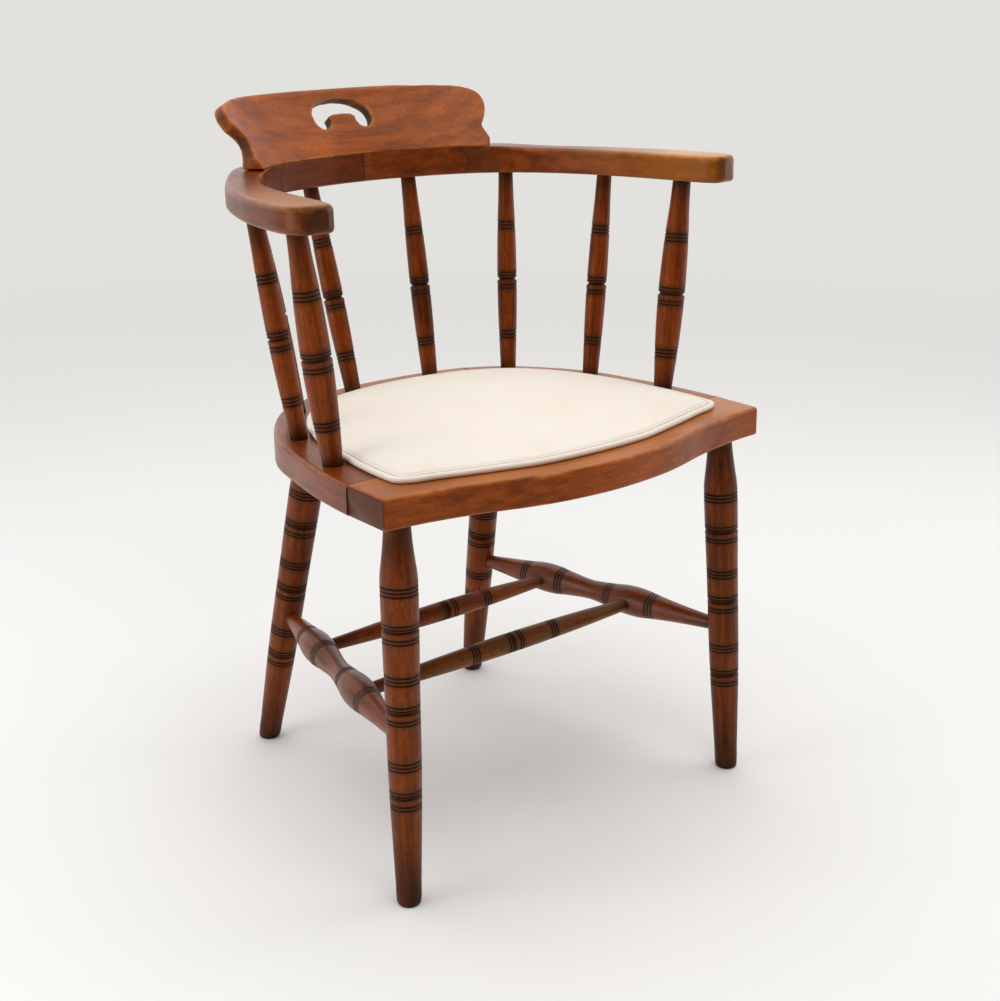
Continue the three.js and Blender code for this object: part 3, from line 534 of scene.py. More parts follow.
# The left back length is painted darker, as painted shade, and the right one paler, as painted
# light.
bow_lit_and_shaded_finish = {word: stained_wood(f"bow_finish_{word}", stain, turn=ALONG_X, dirt_and_shade=0.9,
                                 streaks=100.0, mottle=0.5)
              for word, stain in (("left", "340e02 642606 80360c a85c20"),
                                  ("right", "481604 84360a a44c0f c07028"))}
crest_finish = stained_wood("crest_finish", "6a2a0a a84e0c c26214 dc8a30", turn=ALONG_X, wear=0.4,
                            streaks=80.0, stretch=0.06, marks=0.9, ends_dark=0.9, pores=0.7,
                            mottle=0.32, gloss=0.4, tint=(1, 0.74, 0.54, 1))
print("wood finishes:", len([m for m in bpy.data.materials if "finish" in m.name]))

# %% [markdown]
# Sixteen pieces of this chair come off a lathe: four legs, eight spindles and four stretchers.
# A lathe shape follows a rule, so one geometry node tree makes them all. It takes a profile as a
# bent line, reads a second object that holds the turned lines as points, cuts a groove into the
# profile at each point, and sweeps a circle along the axis with the profile as its radius. Points
# are kept close together only near the lines, which saves many faces. The foot of a leg is slid
# along the axis until it is level with the floor.
# %% The lathe, as a geometry node tree
HALO_FROM, LINE_DARK = 0.0015, (0.08, 0.48)  # where painted shade and dirt begin beside a line, and in it
FOOT_ZONE, CAP_FACTOR, SHARP_TURN = 0.03, 0.9985, 0.9


def lathe_tree():
    n, gi, go = new_group(
        "lathe", "GeometryNodeTree",
        [("Profile", "Geometry", None), ("Turned lines", "Object", None), ("From", "Vector", None),
         ("To", "Vector", None), ("Step", "Float", 0.0006), ("Near line", "Float", 0.004),
         ("Halo", "Float", 0.006), ("Halo strength", "Float", 0.3),
         ("Skip", "Int", 6), ("Sides", "Int", 32), ("Level foot", "Float", 0.0),
         ("Grime at start", "Float", 0.02), ("Grime at end", "Float", 0.02),
         ("Grain shift", "Float", 0.0), ("Finish", "Material", None)],
        [("Piece", "Geometry", None)])

    def of_nearest(value, data_type="FLOAT"):
        return n.out("GeometryNodeSampleIndex", {"Geometry": cuts, "Index": nearest,
                                                 "Value": value}, data_type=data_type)

    def named(name):
        return n.out("GeometryNodeInputNamedAttribute", {"Name": name})

    def along_axis(distance):
        return n.vectors("MULTIPLY", axis, n.joined(X=distance, Y=distance, Z=distance))

    line = n.out("GeometryNodeResampleCurve", {
        "Curve": n.out("GeometryNodeMeshToCurve", {"Mesh": gi["Profile"]}),
        "Length": gi["Step"]}, mode="LENGTH")
    position = n.out("GeometryNodeInputPosition")
    here = n.split(position)
    cuts = n.out("GeometryNodeObjectInfo", {"Object": gi["Turned lines"]}, "Geometry")
    nearest = n.out("GeometryNodeSampleNearest", {"Geometry": cuts,
                                                  "Sample Position": n.joined(Z=here["Z"])})
    there = n.split(of_nearest(position, "FLOAT_VECTOR"))
    away = n.sums("ABSOLUTE", n.minus(here["Z"], there["Z"]))
    share = n.sums("DIVIDE", away, of_nearest(named("half")), clamp=True)
    left = n.minus(1.0, share)
    sharp = n.minus(1.0, n.sums("SQRT", n.minus(1.0, n.times(left, left))))
    hollow = n.sums("SQRT", n.minus(1.0, n.times(share, share)))
    cove = of_nearest(named("cove"))
    form = n.plus(n.times(hollow, cove), n.times(sharp, n.minus(1.0, cove)))
    radius = n.minus(here["X"], n.times(form, of_nearest(named("depth"))))
    # Each turned line and a halo beside it are marked dark: painted shade in the lines, with the
    # wax and dirt that gather there.
    halo = n.mapped(away, HALO_FROM, gi["Halo"], gi["Halo strength"], 0.0)
    dark = n.sums("MAXIMUM", n.mapped(left, *LINE_DARK), halo)
    for name, value in (("radius", radius), ("place", here["Z"]), ("groove", dark)):
        line = n.out("GeometryNodeStoreNamedAttribute", {"Geometry": line, "Name": name,
                                                         "Value": value})
    plain = n.sums("GREATER_THAN", away, gi["Near line"])
    skipped = n.sums("GREATER_THAN", n.sums("MODULO", n.out("GeometryNodeInputIndex"), gi["Skip"]),
                     0.5)
    inner = n.sums("LESS_THAN", n.out("GeometryNodeSplineParameter", output="Factor"), CAP_FACTOR)
    line = n.out("GeometryNodeDeleteGeometry", {
        "Geometry": line, "Selection": n.times(n.times(plain, skipped), inner)}, domain="POINT")
    place = named("place")
    line = n.out("GeometryNodeSetPosition", {"Geometry": line, "Position": n.joined(Z=place)})
    skin = n.out("GeometryNodeCurveToMesh", {
        "Curve": line, "Scale": named("radius"), "Fill Caps": True, "Profile Curve": n.out(
            "GeometryNodeCurvePrimitiveCircle", {"Resolution": gi["Sides"], "Radius": 1.0})})
    shift = n.joined(X=gi["Grain shift"], Z=gi["Grain shift"])
    skin = n.out("GeometryNodeStoreNamedAttribute", {
        "Geometry": skin, "Name": "grain", "Value": n.vectors("ADD", position, shift)},
        data_type="FLOAT_VECTOR")
    span = n.vectors("SUBTRACT", gi["To"], gi["From"])
    to_end = n.minus(n.vectors("LENGTH", span), place)
    # Darker towards both ends: painted shade at the neck of a leg under the seat, with the dirt and
    # wax that gather where one piece enters another.
    end_grime_and_shade = n.sums("MAXIMUM", *(
        n.minus(1.0, n.sums("DIVIDE", distance, gi[reach]), clamp=True)
        for distance, reach in ((place, "Grime at start"), (to_end, "Grime at end"))))
    skin = n.out("GeometryNodeStoreNamedAttribute", {
        "Geometry": skin, "Name": "grime", "Value": n.times(end_grime_and_shade, end_grime_and_shade)})
    axis = n.vectors("NORMALIZE", span)
    turn = n.out("FunctionNodeAlignRotationToVector", {"Vector": axis}, axis="Z")
    placed = n.vectors("ADD", gi["From"], n.out("FunctionNodeRotateVector", {
        "Vector": position, "Rotation": turn}))
    middle = n.vectors("ADD", gi["From"], along_axis(place))
    rise = n.split(n.vectors("SUBTRACT", placed, middle))["Z"]
    near_foot = n.mapped(to_end, FOOT_ZONE, 0.0, 0.0, gi["Level foot"])
    slide = n.times(n.sums("DIVIDE", n.times(rise, -1.0), n.split(axis)["Z"]), near_foot)
    skin = n.out("GeometryNodeSetPosition", {
        "Geometry": skin, "Position": n.vectors("ADD", placed, along_axis(slide))})
    skin = n.out("GeometryNodeSetShadeSmooth", {"Geometry": skin, "Shade Smooth": True})
    skin = n.out("GeometryNodeSetShadeSmooth", {
        "Geometry": skin, "Shade Smooth": False, "Selection": n.sums(
            "GREATER_THAN", n.out("GeometryNodeInputMeshEdgeAngle"), SHARP_TURN)}, domain="EDGE")
    whole = n.out("GeometryNodeRealizeInstances", {"Geometry": skin})
    n.put(n.out("GeometryNodeSetMaterial", {"Geometry": whole, "Material": gi["Finish"]}),
          go["Piece"])
    return n.tree


lathe = lathe_tree()
print("lathe tree:", len(lathe.nodes), "nodes")

# %% [markdown]
# The turner cut two patterns again and again. One is three fine lines side by side. The other is
# two fine lines, a deep cove, a plain band, and two more lines. Written as distances from their
# middle, they can be put anywhere on any piece, which keeps the chair's rhythm in one place. Two
# helpers run the tree: one sets its inputs by the sockets' identifiers, and one turns the result
# into a plain mesh.
# %% The turned lines and how a piece is turned
LINE_PITCH, LINE_DEPTH, COVE_DEPTH = 4.2, 1.3, 2.3
# Offset from the middle, depth, half width and whether it is a cove
TRIPLE = [(offset, LINE_DEPTH, 1.9, 0) for offset in (-LINE_PITCH, 0, LINE_PITCH)]
DOUBLE = [(-9.6, LINE_DEPTH, 1.8, 0), (-5.9, LINE_DEPTH, 1.7, 0), (-2.1, COVE_DEPTH, 1.9, 1),
          (6.1, LINE_DEPTH, 1.9, 0), (10.1, LINE_DEPTH, 1.8, 0)]
POINTS_PER_KNOT, GRAIN_STEP = 12, 0.13
TUCKED_IN = 2.0  # how far a turned end runs on into its socket


def set_inputs(modifier, values):
    """Sets a node modifier's inputs by their labels, through the sockets' identifiers."""
    for item in modifier.node_group.interface.items_tree:
        if item.item_type == "SOCKET" and item.in_out == "INPUT" and item.name in values:
            modifier[item.identifier] = values[item.name]


def baked_piece(source, name):
    """The evaluated shape of an object as a plain mesh piece, and the source is deleted."""
    bpy.context.view_layer.update()
    seen = source.evaluated_get(bpy.context.evaluated_depsgraph_get())
    mesh = bpy.data.meshes.new_from_object(seen)
    bpy.data.objects.remove(source)
    mesh.name = name
    return linked(name, mesh)


def lines_at(triples, doubles):
    """The turned lines of one piece, as points that the lathe tree reads."""
    rows = [(place + off, depth, half, cove)
            for places, pattern in ((triples, TRIPLE), (doubles, DOUBLE))
            for place in places for off, depth, half, cove in pattern]
    helper = wire_from("turned_lines", [])
    helper.data.from_pydata([(0, 0, row[0] * MM) for row in rows], [], [])
    for key, values in (("depth", [r[1] * MM for r in rows]), ("half", [r[2] * MM for r in rows]),
                        ("cove", [r[3] for r in rows])):
        set_mark(helper.data, key, values)
    return helper


def turn_piece(name, body, start, end, triples, doubles, finish, **inputs):
    """Turns one piece between two points, from rows of (distance from the start, radius)."""
    body = np.array(sorted(body), float)
    line = smooth_line(body, POINTS_PER_KNOT * len(body))
    source = wire_from(name, [(r * MM, 0, s * MM) for s, r in line])
    helper = lines_at(triples, doubles)
    modifier = source.modifiers.new("lathe", "NODES")
    modifier.node_group = lathe
    set_inputs(modifier, {"Turned lines": helper, "From": tuple(Vector(start) * MM),
                          "To": tuple(Vector(end) * MM), "Finish": finish,
                          "Grain shift": (sum(map(ord, name)) % 97) * GRAIN_STEP, **inputs})
    piece = baked_piece(source, name)
    bpy.data.objects.remove(helper)
    return stands_for(piece, name)


# %% [markdown]
# Each leg is widest just under its slim neck and then thins all the way to the floor. The front
# pair splays to the front and the back pair leans further, so a leg is given by two points: where
# it enters the seat and where it stands. The length between them sets where its foot is sawn.
# %% The four legs
LEG_TOPS = {"front": ((232, -182.5), (244.6, -211.3)), "back": ((134.3, 127), (166.6, 211.3))}
NECK_RADIUS = 14.2
LEG_BODY = [(-TUCKED_IN, NECK_RADIUS), (4, NECK_RADIUS), (22, 15.2), (42, 17.4), (60, 19.6),
            (74, 20), (97, 19.9), (119, 19.7), (145, 19.3), (170, 18.9), (209, 18.6), (240, 18.4),
            (267, 18.2), (287, 17.8), (306, 17.4), (322, 17), (362, 15.6), (401, 14.2)]
LEG_TRIPLES, LEG_DOUBLES = (74, 170.5, 267), (119.3, 209, 306)
FOOT_RADIUS, FOOT_ROUND = 12.8, 1.4
# The legs darken towards the top, as painted shade under the seat with some dirt, and they also
# darken towards the foot.
LEG_INPUTS = {"Level foot": 1.0, "Grime at start": 0.09, "Grime at end": 0.15, "Sides": 40}


def leg_ends(row, side):
    (tx, ty), (fx, fy) = LEG_TOPS[row]
    top = in_seat([side * tx, ty, -SEAT_THICK])[0]
    top[:2] = (side * tx, ty - DEPTH_CENTRE)
    return top, np.array([side * fx, fy - DEPTH_CENTRE, 0.0])


for row in LEG_TOPS:
    for word, side in SIDES:
        top, foot = leg_ends(row, side)
        reach = float(np.linalg.norm(foot - top))
        body = LEG_BODY + [(reach - FOOT_ROUND, FOOT_RADIUS), (reach, FOOT_RADIUS - FOOT_ROUND)]
        leg = turn_piece(f"leg_{row}_{word}", body, top, foot, LEG_TRIPLES, LEG_DOUBLES,
                         turned_finish, **LEG_INPUTS)

# %% [markdown]
# Eight spindles hold up the bow. The pair under the arms is stouter. All are swollen in the
# middle and thin at both ends, with three lines above and below and the deep cove half way. The
# swelling is given as shares of the middle radius, so that one rule serves both thicknesses.
# %% The eight spindles
THIN = (9, 9.6, 12.4)  # radii at the bow, at the seat and in the middle
SPINDLES = {"arm_support": ((238.8, -77.5), (267, -67.5), (10.6, 10.9, 16.2)),
            "side_spindle": ((214.5, 28.5), (247.6, 48), THIN),
            "rear_side_spindle": ((158, 123), (184.4, 163.7), THIN),
            "rear_spindle": ((58, 156.5), (71.4, 217.5), THIN)}
SWELL_SHARES = [(0, 0), (0.12, 0.2), (0.25, 0.6), (0.4, 0.88), (0.545, 1), (0.68, 0.88),
                (0.83, 0.55), (0.93, 0.2), (1, 0)]
TRIPLE_SHARES, DOUBLE_SHARE = (0.27, 0.82), 0.545
SPINDLE_INPUTS = {"Grime at start": 0.05, "Grime at end": 0.04, "Halo strength": 0.5}

for kind, (foot_at, head_at, (head_r, foot_r, middle_r)) in SPINDLES.items():
    for word, side in SIDES:
        foot = in_seat([side * foot_at[0], foot_at[1], 0])[0]
        head = in_bow([side * head_at[0], head_at[1], 0])[0]
        clear = float(np.linalg.norm(foot - head))
        body = [(-TUCKED_IN, head_r), (clear + TUCKED_IN, foot_r)]
        for share, swell in SWELL_SHARES:
            plain_r = head_r + (foot_r - head_r) * share
            body.append((share * clear, plain_r + (middle_r - plain_r) * swell))
        turn_piece(f"{kind}_{word}", body, head, foot, [s * clear for s in TRIPLE_SHARES],
                   [DOUBLE_SHARE * clear], spindle_finish, **SPINDLE_INPUTS)
    print(kind, "clear length", round(clear, 1), "mm")

# %% [markdown]
# Two side stretchers run from leg to leg and swell where the cross stretchers enter them. The
# cross stretchers are plain tapers with lines in the middle. Each starts just inside the piece
# that holds it, where years of wax have left a dark collar.
# %% The stretchers
FRONT_DOWN, BACK_DOWN, CROSS_SHARES = 243, 249, (0.34, 0.69)
SIDE_END, SIDE_BULGE, SIDE_WAIST, SIDE_INSIDE = 8.0, 18.6, 12.6, 16.0
CROSS_END, CROSS_MIDDLE, CROSS_RING, CROSS_SHIFT = 7.2, 12.2, 60, 8
CROSS_TAPER, CROSS_INSIDE = (0.28, 0.76), SIDE_BULGE - 3
SIDE_RING_SHARES = (0.262, 0.43, 0.628, 0.775)
SIDE_INPUTS = {"Grime at start": 0.05, "Grime at end": 0.05, "Halo strength": 0.12}
CROSS_INPUTS = {"Grime at start": 0.06, "Grime at end": 0.06}


def down_leg(row, side, distance):
    top, foot = leg_ends(row, side)
    return top + (foot - top) / np.linalg.norm(foot - top) * distance


cross_places = {}
for word, side in SIDES:
    start, end = down_leg("front", side, FRONT_DOWN), down_leg("back", side, BACK_DOWN)
    run = float(np.linalg.norm(end - start))
    swell_at = [share * run for share in CROSS_SHARES]
    quarter = (swell_at[1] - swell_at[0]) / 4
    shoulder = (SIDE_BULGE + SIDE_WAIST) / 2
    body = [(SIDE_INSIDE, SIDE_END), (swell_at[0] - 2 * quarter, (SIDE_END + shoulder) / 2),
            ((swell_at[0] + swell_at[1]) / 2, SIDE_WAIST),
            (swell_at[1] + 2 * quarter, (SIDE_END + shoulder) / 2), (run - SIDE_INSIDE, SIDE_END)]
    for middle in swell_at:
        body += [(middle - quarter, shoulder), (middle - quarter / 3, SIDE_BULGE),
                 (middle + quarter / 3, SIDE_BULGE), (middle + quarter, shoulder)]
    turn_piece(f"side_stretcher_{word}", body, start, end, [s * run for s in SIDE_RING_SHARES], (),
               side_turned_finish, **SIDE_INPUTS)
    cross_places[word] = [start + (end - start) * share for share in CROSS_SHARES]
for k, (row, finish) in enumerate((("front", ochre_finish), ("back", turned_finish))):
    start, end = cross_places["left"][k], cross_places["right"][k]
    run = float(np.linalg.norm(end - start))
    middle, between = run / 2 + CROSS_SHIFT, (CROSS_END + 2 * CROSS_MIDDLE) / 3
    body = [(CROSS_INSIDE, CROSS_END), (CROSS_TAPER[0] * run, between), (middle, CROSS_MIDDLE),
            (CROSS_TAPER[1] * run, between), (run - CROSS_INSIDE, CROSS_END)]
    turn_piece(f"cross_stretcher_{row}", body, start, end,
               (middle - CROSS_RING, middle + CROSS_RING), (middle,), finish, **CROSS_INPUTS)
    print("cross_stretcher", row, "run", round(run, 1), "mm")

# %% [markdown]
# The seat frame is four boards glued edge to edge. Its outline is a bowed front and one long
# curve round the sides and back. A board like this could be cut from one thick plate, but then
# its long edges would be hard to wear unevenly. Here each rail is a skin over cross-sections,
# and the rounding of every section wanders a little, as hand work and use leave it.
# %% The seat rails
SEAT_FRONT = [(0, -258), (50, -254.5), (80, -250), (110, -242.5), (150, -230), (190, -220),
              (230, -213), (266, -210)]
SEAT_SIDE = [(266, -210), (267, -146), (262.5, -85), (252, -24), (238, 37), (219, 76), (196, 110),
             (166, 143.5), (125, 168), (62, 183), (0, 187)]
RAIL_WIDTH, FRONT_JOINT, BACK_OUTER, BACK_INNER = 62, -144.5, 122, 100
JOINT_GAP, EDGE_ROUND, LOW_ROUND, INNER_ROUND, END_ROUND = 0.2, 4.6, 3.0, 0.4, 3.2
END_DROP, EDGE_WANDER, WANDER_STEP = 0.7, 1.4, 0.13
CLOSE_TO_JOINT, RAIL_STEP, NO_JOINT = (0.0, 0.5, 1.2, 2.4, 5.0), 7.0, 1e3
half_gap = JOINT_GAP / 2


def wander_along(count, seed):
    """A slow wander along a piece, so that no edge is dead straight."""
    return [noise.noise(Vector((float(k) * WANDER_STEP, seed, 0.5))) for k in range(count)]


def joint_grime(distance):
    """Dirt that collects on both sides of a glue line, over a couple of millimetres."""
    return 0.9 * np.exp(-np.asarray(distance, float) / 0.9)


def rail_piece(name, inner, outer, finish, joint_at, seed, pulls=None):
    """A seat rail from matching points on its inner and outer edge, in the seat's own plane."""
    rings, wear, grime = [], [], []
    last = len(inner) - 1
    wander = wander_along(len(inner), seed)
    for i, (a, b) in enumerate(zip(inner, outer)):
        pull = 0.0 if pulls is None else pulls[i]
        length = np.linalg.norm(b - a)
        width = float(length) - pull
        section = box_section(width, SEAT_THICK - 2 * pull * END_DROP, (
            INNER_ROUND, LOW_ROUND, EDGE_ROUND + EDGE_WANDER * wander[i], INNER_ROUND))
        flat = a + section[:, :1] * ((b - a) / length)
        rings.append(in_seat(np.column_stack([flat, section[:, 1] - SEAT_THICK + pull * END_DROP])))
        wear.append(section[:, 2] * (0.55 + 0.9 * wander[i]) * (section[:, 0] > width / 2)
                    * (0 < i < last))
        grime.append(np.full(len(section), float(joint_grime(joint_at[i]))))
    piece = loft(name, rings, wear=np.clip(wear, 0, 1), grime=grime)
    dress(piece, finish)
    return stands_for(piece, name)


def inset(line, distance):
    """The line moved sideways, to its left as one walks along it."""
    step = np.gradient(line, axis=0)
    step /= np.linalg.norm(step, axis=1, keepdims=True)
    return line + np.column_stack([-step[:, 1], step[:, 0]]) * distance


def cut_between(line, low, high, axis):
    """The stretch of a polyline between two values on one axis, with exact ends."""
    keys = line[:, axis]
    order = np.argsort(keys)
    first, last = (np.array([np.interp(v, keys[order], line[order, k]) for k in (0, 1)])
                   for v in (low, high))
    middle = line[(keys > min(low, high)) & (keys < max(low, high))]
    if len(middle) and np.linalg.norm(middle[0] - first) > np.linalg.norm(middle[-1] - first):
        middle = middle[::-1]
    return np.vstack([first, middle, last])


def crowd_ends(line):
    """Shares of a line's length, closer together by its joints, and their distances to one."""
    total = walked(line)[-1]
    at = set(np.linspace(0, total, max(int(total / RAIL_STEP), 4)).round(3))
    for distance in CLOSE_TO_JOINT:
        at |= {distance, round(total - distance, 3)}
    at = np.array(sorted(at)) / total
    return at, np.minimum(at * total, (1 - at) * total)


def at_shares(line, shares):
    return at_distances(line, shares * walked(line)[-1])


def side_run(line, joint_y, turn_y, keep_y, back_x):
    """A side rail's edge: cut at the front joint by depth, then at the back joint by width."""
    low = cut_between(line[line[:, 1] < turn_y[0]], joint_y, turn_y[1], 1)
    return np.vstack([low[:-1], cut_between(line[line[:, 1] > keep_y], low[-1][0], back_x, 0)])


side_line = smooth_line(SEAT_SIDE, 400)
back_line = smooth_line(both_sides(SEAT_SIDE[::-1]), 800)
back_line = back_line[back_line[:, 1] > 60]
outer_run = side_run(side_line, FRONT_JOINT + half_gap, (150, 150), 100, BACK_OUTER + half_gap)
inner_run = side_run(inset(side_line, RAIL_WIDTH), FRONT_JOINT + half_gap, (100, 99), 60,
                     BACK_INNER + half_gap)
shares, near = crowd_ends(outer_run)
for word, side in SIDES:
    rail_piece(f"seat_side_rail_{word}", at_shares(inner_run, shares) * [side, 1],
               at_shares(outer_run, shares) * [side, 1], side_finish[word], near, 3.0 + side)
back_outer, back_inner = (
    cut_between(line, x - half_gap, -x + half_gap, 0)
    for line, x in ((back_line, BACK_OUTER), (inset(back_line[::-1], RAIL_WIDTH), BACK_INNER)))
shares, near = crowd_ends(back_outer)
rail_piece("seat_back_rail", at_shares(back_inner, shares), at_shares(back_outer, shares),
           front_finish, near, 9.0)
front_line = smooth_line(both_sides(SEAT_FRONT), 500)
half_front = SEAT_FRONT[-1][0]
turns = END_ROUND * (1 - np.cos(np.linspace(0, math.pi / 2, 6)))
xs = np.unique(np.concatenate([np.linspace(-half_front, half_front, 90), half_front - turns,
                               turns - half_front]).round(4))
depth_in = np.minimum(half_front - np.abs(xs), END_ROUND)
pulls = END_ROUND - np.sqrt(np.maximum(END_ROUND ** 2 - (END_ROUND - depth_in) ** 2, 0))
rail_piece("seat_front_rail", np.column_stack([xs, np.full(len(xs), FRONT_JOINT - half_gap)]),
           np.column_stack([xs, np.interp(xs, front_line[:, 0], front_line[:, 1])]),
           front_finish, np.full(len(xs), NO_JOINT), 5.0, pulls)
print("points along the side, back and front rails:", len(near), len(shares), len(xs))

# %% [markdown]
# The arm bow is sawn from four thick boards. At the back it is as thick as the crest rail needs,
# and in front of the crest it is scooped down to the thinner, rounder arms. Its two outlines are
# smooth lines through matching points, so a station on one always faces a station on the other.
# The arms meet the back in a crooked scarf, and the two back lengths meet in a plain butt joint.
# %% The arm bow
BOW_INNER = [(0, 207), (30, 206), (60, 201.5), (90, 194.5), (118, 185), (143, 172.5), (163, 157.5),
             (181, 138.5), (197, 115), (211, 88), (222, 59), (231, 26), (238, -8), (243, -42),
             (248, -76), (251, -98), (254, -114.5), (260, -127), (270, -134)]
BOW_OUTER = [(0, 246), (34, 245), (70, 239.5), (103, 231), (136, 218.5), (167, 202), (195, 180.5),
             (220, 150.5), (241, 118), (258, 84), (271, 51), (282, 20), (292, -14), (299, -49),
             (303, -78), (304, -98), (301.5, -113), (295, -124), (284.5, -131.5)]
ARM_HIGH, BACK_HIGH, ARM_ROUND, BOW_LOW_ROUND, SEAM_ROUND, CROWN = 29.5, 33.5, 7.0, 5.0, 0.8, 0.9
ARM_EXTRA = {-1: -1.0, 1: 1.5}  # sawn by hand, the right arm came out a little thicker
SCARF_AT, RISE_FROM, RISE_TO, STATION_MM = 4.45, 8.2, 5.4, 29.0
SCARF_SHARES, SCARF_SHIFT, SCARF_REACH = (0, 0.5, 1), (0.12, 0.27, -0.1), 0.9
TIP_ROUND, CAP_ROUND, CAP_STATIONS = 8.0, 3.0, 16
# The second pair is the stretch of stations over which the arms take on the painted top light.
TIP_DARK, TOP_LIGHT_FROM_TO, RUB_FROM_TO = 0.35, (8.5, 13.5), (9, 15)
BACK_STEP, ARM_STEP = 0.22, 0.2
inner_points, outer_points = both_sides(BOW_INNER), both_sides(BOW_OUTER)
MIDDLE = len(BOW_INNER) - 1


def bow_edges(station):
    """The places on the bow's inner and outer line that face each other at a station."""
    return [smooth_at(line, MIDDLE + station) for line in (inner_points, outer_points)]


def bow_section(station, side):
    lift = float(eased(station, RISE_TO, RISE_FROM))
    height = BACK_HIGH + (ARM_HIGH + ARM_EXTRA[side] - BACK_HIGH) * lift
    top = SEAM_ROUND + (ARM_ROUND - SEAM_ROUND) * lift
    inner, outer = bow_edges(station)
    width = float(np.linalg.norm(inner - outer))
    return box_section(width, height, (BOW_LOW_ROUND, BOW_LOW_ROUND, top, top),
                       crown=CROWN * lift), width, height


def tip_inset(station):
    """How far the hand end is rounded down at a station, from its distance to the very end."""
    left = sum(edge[1] for edge in bow_edges(station)) / 2 - (
        BOW_INNER[-1][1] + BOW_OUTER[-1][1]) / 2
    if left >= TIP_ROUND:
        return 0.0
    return TIP_ROUND - math.sqrt(max(TIP_ROUND ** 2 - (TIP_ROUND - max(left, 0)) ** 2, 0))


def ease_cap(piece):
    """Rounds the rim of the flat face at the front of an arm."""
    work = bmesh.new()
    work.from_mesh(piece.data)
    cap = min((f for f in work.faces if len(f.verts) > 4), key=lambda f: f.calc_center_median().y)
    bmesh.ops.bevel(work, geom=list(cap.edges) + list(cap.verts), offset=CAP_ROUND * MM,
                    segments=3, profile=0.5, affect="EDGES", clamp_overlap=True)
    work.to_mesh(piece.data)
    work.free()
    shade(piece)


def bow_length(name, stations, side, finish, joints, tip=False):
    """One sawn length of the bow. The joints are the stations at which it is glued."""
    rings, wear, grime, shaded = [], [], [], []
    for station in stations:
        section, width, height = bow_section(station, side)
        drop = tip_inset(station) if tip else 0.0
        section[:, 1] = drop + section[:, 1] * (1 - 2 * drop / height)
        near_scarf = float(eased(abs(station - SCARF_AT), SCARF_REACH, 0.0))
        crooked = np.interp(section[:, 1] / height, SCARF_SHARES, SCARF_SHIFT) * near_scarf
        inner, outer = bow_edges(station + crooked)
        flat = inner + (outer - inner) * (section[:, 0] / width)[:, None]
        rings.append(np.column_stack([flat, section[:, 1]]))
        off = min(abs(station - joint) for joint in joints) * STATION_MM
        held = TIP_DARK * float(eased(station, MIDDLE - 1.6, MIDDLE - 0.4)) if side < 0 else 0.0
        grime.append(np.full(len(section), max(float(joint_grime(off)), held)))
        # The mark shaded is 1 towards the back, where the arms get no painted top light and take
        # the back's tones.
        shaded.append(np.full(len(section), 1 - float(eased(station, *TOP_LIGHT_FROM_TO))))
        rub = (0.5 + 0.5 * float(eased(station, *RUB_FROM_TO))
               - float(eased(station, MIDDLE - 0.5, MIDDLE)))
        wear.append(section[:, 2] * max(rub, 0.0) * (section[:, 1] > height / 2))
    rings = np.array(rings) * [side, 1, 1]
    piece = loft(name, in_bow(rings.reshape(-1, 3)).reshape(rings.shape),
                 wear=np.clip(wear, 0, 1), grime=grime, shaded=shaded)
    if tip:
        ease_cap(piece)
    dress(piece, finish)
    return stands_for(piece, name)


def stations_between(low, high, step):
    near = np.array(CLOSE_TO_JOINT) / STATION_MM
    at = np.concatenate([np.arange(low + 0.25, high - 0.25, step), low + near, high - near])
    return np.unique(at.round(4))


ARM_TURN = math.radians(90) + math.atan2(-135 - 150, 280 - 175)
ARM_STAIN = {"left": "4e1c04 7c360e 96501c d08c4c", "right": "6a3408 8e4a10 a66018 d0903c"}
gap_share = half_gap / STATION_MM
for word, side in SIDES:
    bow_length(f"bow_back_{word}", stations_between(gap_share, SCARF_AT - gap_share, BACK_STEP),
               side, bow_lit_and_shaded_finish[word], (0, SCARF_AT))
    # The tops of the arms are painted paler towards their tips: painted top light.
    arm_finish = stained_wood(f"arm_finish_{word}", ARM_STAIN[word], wear=0.25, marks=0.6,
                              turn=(math.radians(90), 0, side * ARM_TURN), painted_top_light=0.8, rough=0.28,
                              gloss=0.4, streaks=100.0, root="541b04 843408")
    stations = np.union1d(stations_between(SCARF_AT + gap_share, MIDDLE - 1.0, ARM_STEP),
                          np.linspace(MIDDLE - 1.0, MIDDLE, CAP_STATIONS))
    arm = bow_length(f"arm_{word}", stations, side, arm_finish, (SCARF_AT,), tip=True)
    print(arm.name, "faces", len(arm.data.polygons))

# %% [markdown]
# The crest rail leans back and follows the bow at the same time. That order is copied here: a
# blank is swept round the bow with the leaning cross-section, and cutters then saw it. Each end
# has its own outline and is sawn square to the face where it is, so its cutter is a band of
# walls that run back at right angles to the curve. The finger hole is sawn straight through.
# Hand rasping rounds every edge, which a fine voxel remesh and a few passes of smoothing do well.
# Where a wall was sawn, the wood is darker, so the distance to the nearest wall is kept too.
# %% The crest rail
CREST_FRONT = [(0, 0), (2.5, 4), (8, 12), (19, 27), (30, 41), (40, 54), (48, 65), (51.5, 71),
               (55.5, 75)]
CREST_BACK = [(61, 74), (66, 68), (66, 64), (57, 52), (46, 38), (36, 25), (28, 12), (25, 0)]
CREST_CUT = math.radians(32)
